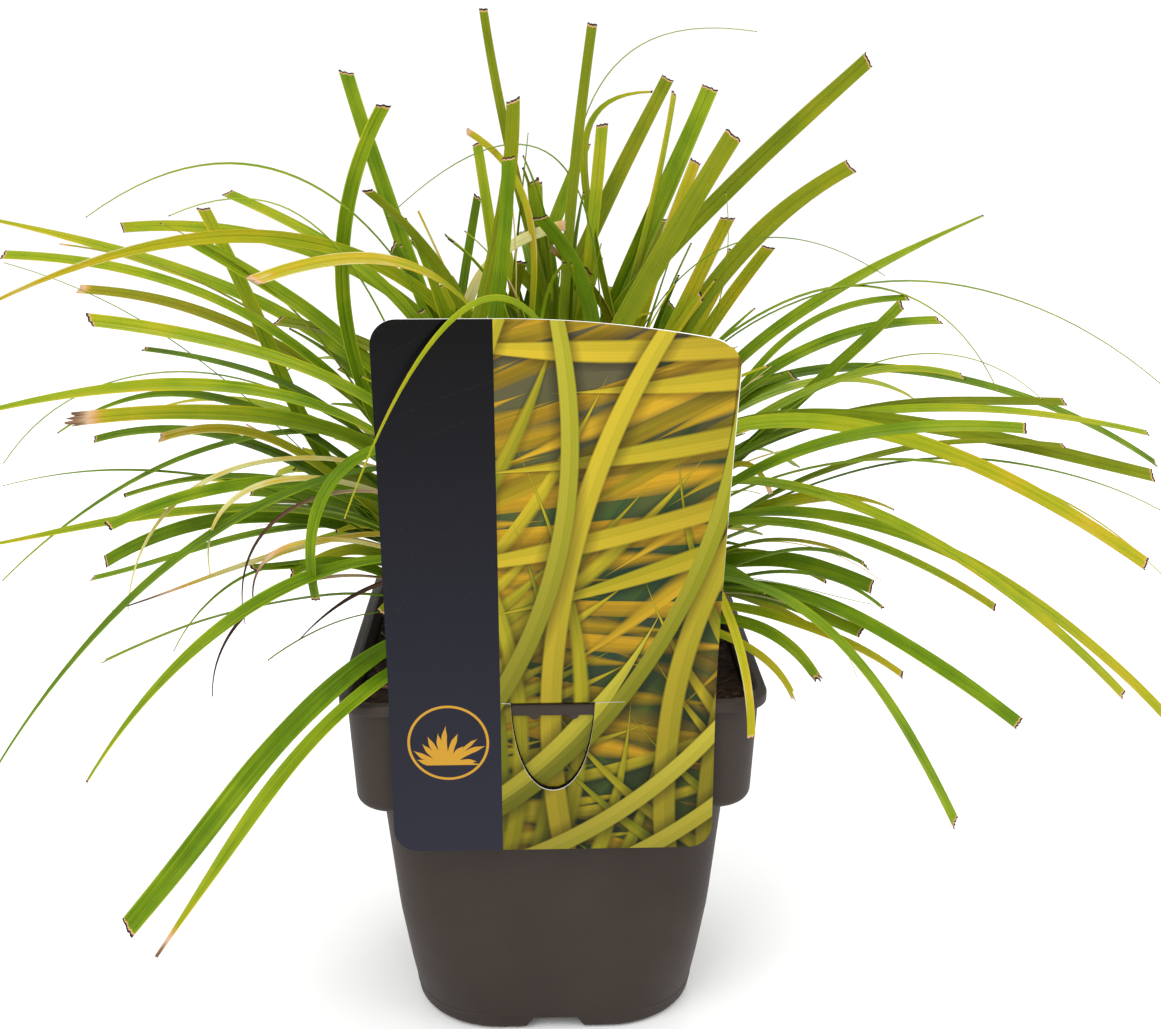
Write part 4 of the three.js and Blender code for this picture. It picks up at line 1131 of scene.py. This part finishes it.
def add_sheath(spine, rng):
    """Adds one sheath: an open tube that wraps the base of a blade and stands on the peat."""
    bpy.ops.mesh.primitive_grid_add(x_subdivisions=8, y_subdivisions=6, size=1, calc_uvs=True)
    sheath = bpy.context.active_object
    base = spine.controls[0]
    start = (spine.controls[1] - base).normalized()
    root = SHEATH["root"]
    foot = Vector((base.x * root, base.y * root, CROWN_LOW.z / MM + 0.3))
    bow = base - start * SHEATH["bow"]
    top = base + start * rng.uniform(*SHEATH["length"])
    side = Vector((-math.sin(spine.azimuth), math.cos(spine.azimuth), 0))
    girth = rng.uniform(*SHEATH["radius"])
    for vertex in sheath.data.vertices:
        share = vertex.co.y + 0.5
        angle = vertex.co.x * 2 * math.pi
        u = 1 - share
        centre = foot * u * u + bow * 2 * u * share + top * share * share
        along = ((bow - foot) * u + (top - bow) * share).normalized()
        out = along.cross(side) * SHEATH["flat"]
        radius = girth * mix(1.0, SHEATH["narrow"], share)
        slope = SHEATH["mouth"] * share * (1 - math.cos(angle)) / 2
        ring = side * math.sin(angle) - out * math.cos(angle)
        vertex.co = (centre + ring * radius + along * slope) * MM
    sheath.data.uv_layers[0].name = "blade"
    return sheath


def make_crown(spines, settings, rng):
    """The crown: a sheath round the base of every blade, over a fibrous core."""
    sheaths = join("crown_sheaths", [add_sheath(spine, rng) for spine in spines])
    apply_modifier(sheaths, "SOLIDIFY", thickness=SHEATH["wall"] * MM, offset=0)
    place(sheaths, "crown_sheaths", 60, sheath_material(settings), "sheath", "crown")
    bpy.ops.mesh.primitive_uv_sphere_add(segments=48, ring_count=24, radius=1)
    core = bpy.context.active_object
    low, high = CROWN_LOW.z / MM, CROWN_HIGH.z / MM
    for vertex in core.data.vertices:
        radial = Vector((vertex.co.x, vertex.co.y)) * (CROWN_RADIUS - CORE_INSET)
        lump = noise.noise(vertex.co * CORE_LUMPS["rate"]) * CORE_LUMPS["height"]
        z = mix(low, high - CORE_INSET, max(vertex.co.z, 0)) + (lump if vertex.co.z > 0 else 0)
        vertex.co = Vector((radial.x, radial.y, max(z, low))) * MM
    # Its first colour is near-black, painted shade in the hollows between the fibres.
    fibrous = peat_material(
        "fibrous leaf bases", [srgb("#20150e"), srgb("#4b3a20"), srgb("#7c6a38")], 2.2 * MM)
    place(core, "crown_core", 60, fibrous, "sheath")


# ---- Soil ------------------------------------------------------------------------------------

# In millimetres. How wide the peat's swells and its two sizes of clods are and how high they stand,
# and how far the whole top stands above the peat's nominal level.
SWELL = (11, 1.1)
CLODS = ((3.4, 1.5), (1.5, 0.5))
CLOD_SLOPE = 1.6
SOIL_RISE = 0.7
# The top's corner radius and thickness, and the corner radius of the area that loose bits lie in.
CRUST = {"corner": 10.4, "thick": 0.3, "cells": 132}
LOOSE_CORNER = 9
# A crumb's least and greatest radius, how deeply and finely it is dented, and how flat it is.
CRUMB = {"radius": (0.5, 1.6), "dent": 0.45, "fineness": 1.3, "flat": 0.75}
# A chip's length, width and thickness, its taper, its tilt in radians, and its bend.
CHIP = {"sizes": ((2.5, 8.5), (1.2, 2.8), (0.5, 1.0)), "taper": 0.5, "tilt": 0.3, "bend": 0.35}
# A fibre's radius at its start and end, the length of its links, its greatest arch, and its curl
# along its length and from link to link in radians.
FIBRE = {"radius": 0.2, "thick": 1.1, "thin": 0.45, "step": 1.5, "arch": 2.4, "curl": 0.35,
         "wander": 0.3}


def soil_height(x, y):
    """Height in millimetres of the peat's crumbly top above its nominal level."""
    spot = Vector((x, y, 0))
    height = SOIL_RISE + noise.noise(spot / SWELL[0]) * SWELL[1]
    for wide, high in CLODS:
        nearest = noise.voronoi(spot / wide)[0][0]
        height += (1 - min(nearest * CLOD_SLOPE, 1)) * high
    return height


def soil_reach(angle, half, corner):
    """Distance from the axis to a rounded square's edge at an angle."""
    c, s = abs(math.cos(angle)), abs(math.sin(angle))
    inset = half - corner
    straight = half / max(c, s)
    if min(c, s) * straight <= inset:
        return straight
    reach = inset * (c + s)
    return reach + math.sqrt(max(reach * reach - 2 * inset * inset + corner * corner, 0))


def scatter(rng, half):
    """A random spot on the peat outside the crown, in millimetres."""
    while True:
        x, y = rng.uniform(-half, half), rng.uniform(-half, half)
        far = math.hypot(x, y)
        if CROWN_RADIUS * 0.8 < far < soil_reach(math.atan2(y, x), half, LOOSE_CORNER) - 1:
            return x, y


class SEDGE_OT_soil(bpy.types.Operator):
    """Lay the peat's crumbly top, with crumbs, bark chips and dry root fibres"""

    bl_idname = "sedge.soil"
    bl_label = "Peat"

    def execute(self, context):
        settings = context.scene.sedge_soil
        rng = random.Random(settings.seed)
        noise.seed_set(settings.seed)
        half = SOIL_HIGH.x / MM
        level = SOIL_HIGH.z / MM
        # The first colour of each peat material here is near-black, painted shade in the hollows of its
        # pattern.
        peat = peat_material(
            "damp peat", [srgb("#120b07"), settings.colour, settings.crumb], settings.crumb_size)
        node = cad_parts["substrate"]
        node.data.materials.clear()
        node.data.materials.append(peat)
        self.top(half, level, peat)
        crumbs = join("peat_crumbs", [
            self.crumb(rng, index, half - 2, level) for index in range(settings.crumbs)])
        place(crumbs, "peat_crumbs", 80, peat_material(
            "crumbled peat", [srgb("#1c120b"), settings.crumb, srgb("#5f452e")], 1.2 * MM), "peat")
        bark = join("bark_chips", [
            self.chip(rng, index, half - 4, level) for index in range(settings.chips)])
        place(bark, "bark_chips", 40, peat_material(
            "bark and wood chips", [srgb("#2a1b12"), settings.bark, srgb("#a98a62")], 1.6 * MM), "peat")
        self.fibres(settings, rng, half, level)
        return {"FINISHED"}

    def top(self, half, level, material):
        """The crumbly top: a fine grid drawn into the pot's rounded square."""
        cells = CRUST["cells"]
        bpy.ops.mesh.primitive_grid_add(x_subdivisions=cells, y_subdivisions=cells, size=2)
        top = bpy.context.active_object
        for vertex in top.data.vertices:
            x, y = vertex.co.x, vertex.co.y
            angle = math.atan2(y, x)
            edge = max(abs(x), abs(y))
            reach = soil_reach(angle, half - 0.1, CRUST["corner"]) * edge
            x, y = math.cos(angle) * reach, math.sin(angle) * reach
            rise = 0 if edge > 0.999 else soil_height(x, y)
            vertex.co = Vector((x, y, level + 0.35 + max(rise, 0))) * MM
        apply_modifier(top, "SOLIDIFY", thickness=CRUST["thick"] * MM, offset=-1)
        place(top, "peat_top", 70, material, "peat")

    def crumb(self, rng, index, half, level):
        """One loose crumb: a small dented ball."""
        x, y = scatter(rng, half)
        size = rng.uniform(*CRUMB["radius"])
        bpy.ops.mesh.primitive_ico_sphere_add(subdivisions=1, radius=size * MM)
        crumb = bpy.context.active_object
        turn = Euler([rng.uniform(0, 6) for _ in range(3)]).to_matrix()
        for vertex in crumb.data.vertices:
            spot = vertex.co / MM * CRUMB["fineness"] + Vector((index, 0, 0))
            vertex.co = turn @ (vertex.co * (1 + CRUMB["dent"] * noise.noise(spot)))
            vertex.co.z *= CRUMB["flat"]
            vertex.co += Vector((x, y, level + soil_height(x, y) + size * 0.4)) * MM
        return crumb

    def chip(self, rng, index, half, level):
        """One chip of bark: a flat block that tapers and bends a little."""
        x, y = scatter(rng, half)
        length, width, thick = (rng.uniform(*limits) for limits in CHIP["sizes"])
        bpy.ops.mesh.primitive_cube_add(size=1)
        chip = bpy.context.active_object
        bpy.ops.object.mode_set(mode="EDIT")
        bpy.ops.mesh.subdivide(number_cuts=2)
        bpy.ops.object.mode_set(mode="OBJECT")
        tilts = [rng.uniform(-CHIP["tilt"], CHIP["tilt"]) for _ in range(2)]
        turn = Euler((*tilts, rng.uniform(0, 6.3))).to_matrix()
        spot = Vector((x, y, level + soil_height(x, y) + 0.7))
        for vertex in chip.data.vertices:
            taper = 1 - CHIP["taper"] * abs(vertex.co.x)
            shape = Vector((vertex.co.x * length, vertex.co.y * width * taper, vertex.co.z * thick))
            shape += noise.noise_vector(shape * 0.6 + Vector((index * 9, 0, 0))) * CHIP["bend"]
            vertex.co = (turn @ shape + spot) * MM
        return chip

    def fibres(self, settings, rng, half, level):
        """Root fibres: fine curling threads, made as one curve and turned into a mesh."""
        curve, piece = new_curve("root_fibres", "3D")
        curve.bevel_depth = FIBRE["radius"] * MM
        curve.bevel_resolution = 1
        curve.use_fill_caps = True
        for index in range(settings.fibres):
            x, y = scatter(rng, half - 5)
            heading, curl = rng.uniform(0, 6.3), rng.uniform(-FIBRE["curl"], FIBRE["curl"])
            points = rng.randint(6, 12)
            spline = curve.splines.new("POLY")
            spline.points.add(points - 1)
            arch = rng.uniform(0, FIBRE["arch"])
            for i, point in enumerate(spline.points):
                share = i / (points - 1)
                lift = 0.3 + arch * math.sin(math.pi * share)
                limit = soil_reach(math.atan2(y, x), half - 1.5, LOOSE_CORNER)
                far = math.hypot(x, y)
                if far > limit:
                    x, y = x * limit / far, y * limit / far
                point.co = (*(Vector((x, y, level + soil_height(x, y) + lift)) * MM), 1)
                thin = mix(FIBRE["thick"], FIBRE["thin"], share)
                point.radius = thin * (0.6 if index % 3 else 1.2)
                x += math.cos(heading) * FIBRE["step"]
                y += math.sin(heading) * FIBRE["step"]
                heading += curl + rng.uniform(-FIBRE["wander"], FIBRE["wander"])
        dry = plain_material("dry root fibre", settings.fibre, 0.75, 0.4)
        place(as_mesh(piece), "root_fibres", 60, dry, "peat")


# ---- Label -----------------------------------------------------------------------------------

# In millimetres. The sheet leans forward above its fold, faster towards the top. Its tongue is cut
# out of it, folds over the rim and hangs behind the strap.
LABEL = {"corner": 7.5, "lean": 10.0, "bend": 1.25, "gap": 0.3, "half_sheet": 0.25, "fold": 131.1}
TONGUE = {"half": 12.7, "length": 28.5, "cut": 0.22, "fold_round": 0.6, "columns": 16, "rows": 34}
TONGUE_END = {"height": 9.0, "corner": 6.5, "taper": 0.8}
SLITS = {"left": 3.0, "right": 9.0, "height": 0.35}  # cuts out from the window's upper corners
STRIPS = 40  # how many strips the sheet is cut into each way, so that it can bend
PRINTED = -0.55  # a face whose normal's y is below this carries the print
# The upper right corner curls forward and down by these, from this share of half the width.
CURL = {"forward": 24.0, "drop": 3.0, "from": -0.3, "power": 2.0}


def label_front(z):
    """The y of the sheet's middle plane at a height, in millimetres."""
    front = -POT_HIGH.x / MM - LABEL["gap"] - LABEL["half_sheet"]
    share = max(z - LABEL["fold"], 0) / (LABEL_HIGH.z / MM - LABEL["fold"])
    return front - LABEL["lean"] * share ** LABEL["bend"]


def curl_of(x, z):
    """How much of the curl a spot of the sheet has, for its shift forward and its drop."""
    half = (LABEL_HIGH.x - LABEL_LOW.x) / 2 / MM
    across = max((x - (LABEL_HIGH.x / MM - half)) / half - CURL["from"], 0) / (1 - CURL["from"])
    up = max(z - LABEL["fold"], 0) / (LABEL_HIGH.z / MM - LABEL["fold"])
    return across ** CURL["power"] * up ** LABEL["bend"], across ** CURL["power"] * up ** 2


def tongue_side(grow, steps=18):
    """Half of the tongue's outline from its free end up to the fold, as (x, z) in millimetres."""
    half = TONGUE["half"] + grow
    end = POT_HIGH.z / MM - TONGUE["length"] - grow
    height, corner, taper = (TONGUE_END[key] for key in ("height", "corner", "taper"))
    controls = [Vector(spot) for spot in (
        (0, end), (half - corner, end), (half - taper, end + height), (half, LABEL["fold"]))]
    return [bezier(controls, i / steps) for i in range(steps + 1)]


class SEDGE_OT_label(bpy.types.Operator):
    """Cut and bend the label's sheet, with the tongue that hooks behind the strap"""

    bl_idname = "sedge.label"
    bl_label = "Plant label"

    def execute(self, context):
        settings = context.scene.sedge_label
        middle = (LABEL_LOW.x + LABEL_HIGH.x) / 2 / MM
        label = join("plant_label", [self.sheet(middle, settings), self.tongue(middle, settings)])
        place(label, "label_sheet", 30, print_material(settings), "label_print", "plant_label")
        label.data.materials.append(plain_material("cut polypropylene edge", settings.sheet, 0.4, 0.02))
        for face in label.data.polygons:
            face.material_index = 0 if face.normal.y < PRINTED else 1
        return {"FINISHED"}

    def outlines(self):
        """The sheet's outline and its window's, as (x, z) in millimetres from the sheet's middle."""
        low, high = LABEL_LOW.z / MM, LABEL_HIGH.z / MM
        radius = LABEL["corner"]
        across = (LABEL_HIGH.x - LABEL_LOW.x) / 2 / MM - radius
        sheet = []
        for cx, cz, first in ((across, low + radius, -90), (across, high - radius, 0),
                              (-across, high - radius, 90), (-across, low + radius, 180)):
            sheet += [(cx + x, cz + z) for x, z in arc(radius, 12, first, first + 90)]
        right = tongue_side(TONGUE["cut"])
        (reach, top), gap = right.pop(), SLITS["height"]
        left = [(-x, z) for x, z in reversed(right[1:])]
        right_end, left_end = reach + SLITS["right"], -reach - SLITS["left"]
        slits = [(reach, top - gap), (right_end, top - gap / 2), (right_end, top),
                 (left_end, top), (left_end, top - gap / 2), (-reach, top - gap)]
        return sheet, [*right, *slits, *left]

    def sheet(self, middle, settings):
        """The sheet: its outline with the tongue's window, filled, cut into strips and bent."""
        curve, piece = new_curve("label_sheet", "2D")
        curve.fill_mode = "BOTH"
        for points in self.outlines():
            spline = curve.splines.new("POLY")
            spline.points.add(len(points) - 1)
            for point, (x, z) in zip(spline.points, points):
                point.co = ((x + middle) * MM, z * MM, 0, 1)
            spline.use_cyclic_u = True
        piece = as_mesh(piece)
        bpy.ops.object.mode_set(mode="EDIT")
        bpy.ops.mesh.select_all(action="SELECT")
        bpy.ops.mesh.remove_doubles(threshold=0.01 * MM)
        high = LABEL_HIGH.z / MM
        half = (LABEL_HIGH.x - LABEL_LOW.x) / 2 / MM
        shares = [i / STRIPS for i in range(1, STRIPS)]
        cuts = [((0, mix(LABEL["fold"] - 3, high, share), 0), (0, 1, 0)) for share in shares]
        cuts += [((middle + half * mix(CURL["from"], 1, share), 0, 0), (1, 0, 0)) for share in shares]
        for spot, normal in cuts:
            bpy.ops.mesh.select_all(action="SELECT")
            bpy.ops.mesh.bisect(plane_co=[c * MM for c in spot], plane_no=normal)
        bpy.ops.object.mode_set(mode="OBJECT")
        for vertex in piece.data.vertices:
            x, z = vertex.co.x / MM, vertex.co.y / MM
            forward, drop = curl_of(x, z)
            y = label_front(z) - CURL["forward"] * forward
            vertex.co = Vector((x, y, z - CURL["drop"] * drop)) * MM
        apply_modifier(piece, "SOLIDIFY", thickness=settings.thickness, offset=0)
        face_out(piece)
        return piece

    def tongue(self, middle, settings):
        """The tongue: a strip that folds over the rim and hangs behind the strap."""
        fold, rows = LABEL["fold"], TONGUE["rows"]
        front = label_front(fold)
        behind = -POT_HIGH.x / MM + STRAP["thick"] + LABEL["gap"] + LABEL["half_sheet"]
        side = tongue_side(0)
        turns = [math.pi * i / 10 for i in range(11)]
        path = [(mix(front, behind, (1 - math.cos(turn)) / 2),
                 fold + 0.1 + TONGUE["fold_round"] * math.sin(turn)) for turn in turns]
        path += [(behind, mix(fold, side[0][1] + 0.2, (i + 1) / rows)) for i in range(rows)]
        bpy.ops.mesh.primitive_grid_add(
            x_subdivisions=TONGUE["columns"], y_subdivisions=len(path) - 1, size=1)
        strip = bpy.context.active_object
        for vertex in strip.data.vertices:
            y, z = path[round((0.5 - vertex.co.y) * (len(path) - 1))]
            reach = side[-1][0]
            for (x0, z0), (x1, z1) in zip(side, side[1:]):
                if z0 <= z <= z1:
                    reach = mix(x0, x1, (z - z0) / (z1 - z0))
            vertex.co = Vector((middle + vertex.co.x * 2 * reach, y, z)) * MM
        apply_modifier(strip, "SOLIDIFY", thickness=settings.thickness * 0.9, offset=0)
        face_out(strip)
        return strip


# ---- Stage -----------------------------------------------------------------------------------

FLOOR = {"radius": 80, "drop": 0.0004}
CAMERA_PLACE = (-0.004, -0.4625, 0.3116)
CAMERA_TURN = (math.radians(73), 0, math.radians(-1.7475))
# Softboxes: place, what they look at, size in metres, and share of the key light's power.
SOFTBOXES = (
    ((-0.7, -1.0, 1.3), (0, 0, 0.15), 1.0, 1.0),
    ((1.2, -0.5, 0.8), (0, 0, 0.18), 0.9, 0.45),
    ((0.1, 1.0, 1.4), (0, 0, 0.2), 0.8, 0.5),
)


class SEDGE_OT_stage(bpy.types.Operator):
    """Set the floor, the soft studio light and the camera"""

    bl_idname = "sedge.stage"
    bl_label = "Stage"

    def execute(self, context):
        settings = context.scene.sedge_stage
        scene = context.scene
        deselect()
        bpy.ops.mesh.primitive_circle_add(
            vertices=96, radius=FLOOR["radius"], fill_type="NGON", location=(0, 0, -FLOOR["drop"]))
        floor = bpy.context.active_object
        floor.name = "floor"
        material, tree = new_material("white studio sweep")
        finish_material(tree, {
            "Base Color": settings.floor, "Roughness": 0.9, "Specular IOR Level": 0.1})
        floor.data.materials.append(material)
        for index, (place_at, target, size, share) in enumerate(SOFTBOXES, 1):
            light = bpy.data.lights.new(f"softbox_{index}", "AREA")
            light.energy = settings.key * share
            light.size = size
            lamp = bpy.data.objects.new(f"softbox_{index}", light)
            lamp.location = place_at
            lamp.rotation_euler = (Vector(target) - Vector(place_at)).to_track_quat("-Z", "Y").to_euler()
            scene.collection.objects.link(lamp)
        world = bpy.data.worlds.new("studio")
        world.use_nodes = True
        background = world.node_tree.nodes["Background"]
        background.inputs["Color"].default_value = (1, 1, 1, 1)
        background.inputs["Strength"].default_value = settings.ambient
        scene.world = world
        scene.view_settings.view_transform = "Standard"
        camera = bpy.data.objects.new("camera", bpy.data.cameras.new("camera"))
        camera.data.lens = settings.lens
        camera.data.sensor_width = 36
        camera.data.sensor_fit = "HORIZONTAL"
        camera.data.clip_start = 0.01
        camera.location = CAMERA_PLACE
        camera.rotation_euler = CAMERA_TURN
        scene.collection.objects.link(camera)
        scene.camera = camera
        return {"FINISHED"}


# ---- Add-on ----------------------------------------------------------------------------------


class SEDGE_PT_panel(bpy.types.Panel):
    """The steps of the model, in order"""

    bl_label = "Potted sedge"
    bl_idname = "SEDGE_PT_panel"
    bl_space_type = "VIEW_3D"
    bl_region_type = "UI"
    bl_category = "Sedge"

    def draw(self, context):
        for operator in OPERATORS:
            self.layout.operator(operator.bl_idname)


SETTINGS = {
    "sedge_pot": SedgePotSettings,
    "sedge_soil": SedgeSoilSettings,
    "sedge_leaf": SedgeLeafSettings,
    "sedge_label": SedgeLabelSettings,
    "sedge_stage": SedgeStageSettings,
}
OPERATORS = (SEDGE_OT_stage, SEDGE_OT_pot, SEDGE_OT_soil, SEDGE_OT_label, SEDGE_OT_leaves)


def register():
    for group in (*SETTINGS.values(), *OPERATORS, SEDGE_PT_panel):
        bpy.utils.register_class(group)
    for name, group in SETTINGS.items():
        setattr(bpy.types.Scene, name, PointerProperty(type=group))


def unregister():
    for name in SETTINGS:
        delattr(bpy.types.Scene, name)
    for group in reversed((*SETTINGS.values(), *OPERATORS, SEDGE_PT_panel)):
        bpy.utils.unregister_class(group)


def main():
    register()
    bpy.ops.sedge.stage()
    bpy.ops.sedge.pot()
    bpy.ops.sedge.soil()
    bpy.ops.sedge.label()
    bpy.ops.sedge.leaves()


if __name__ == "__main__":
    main()
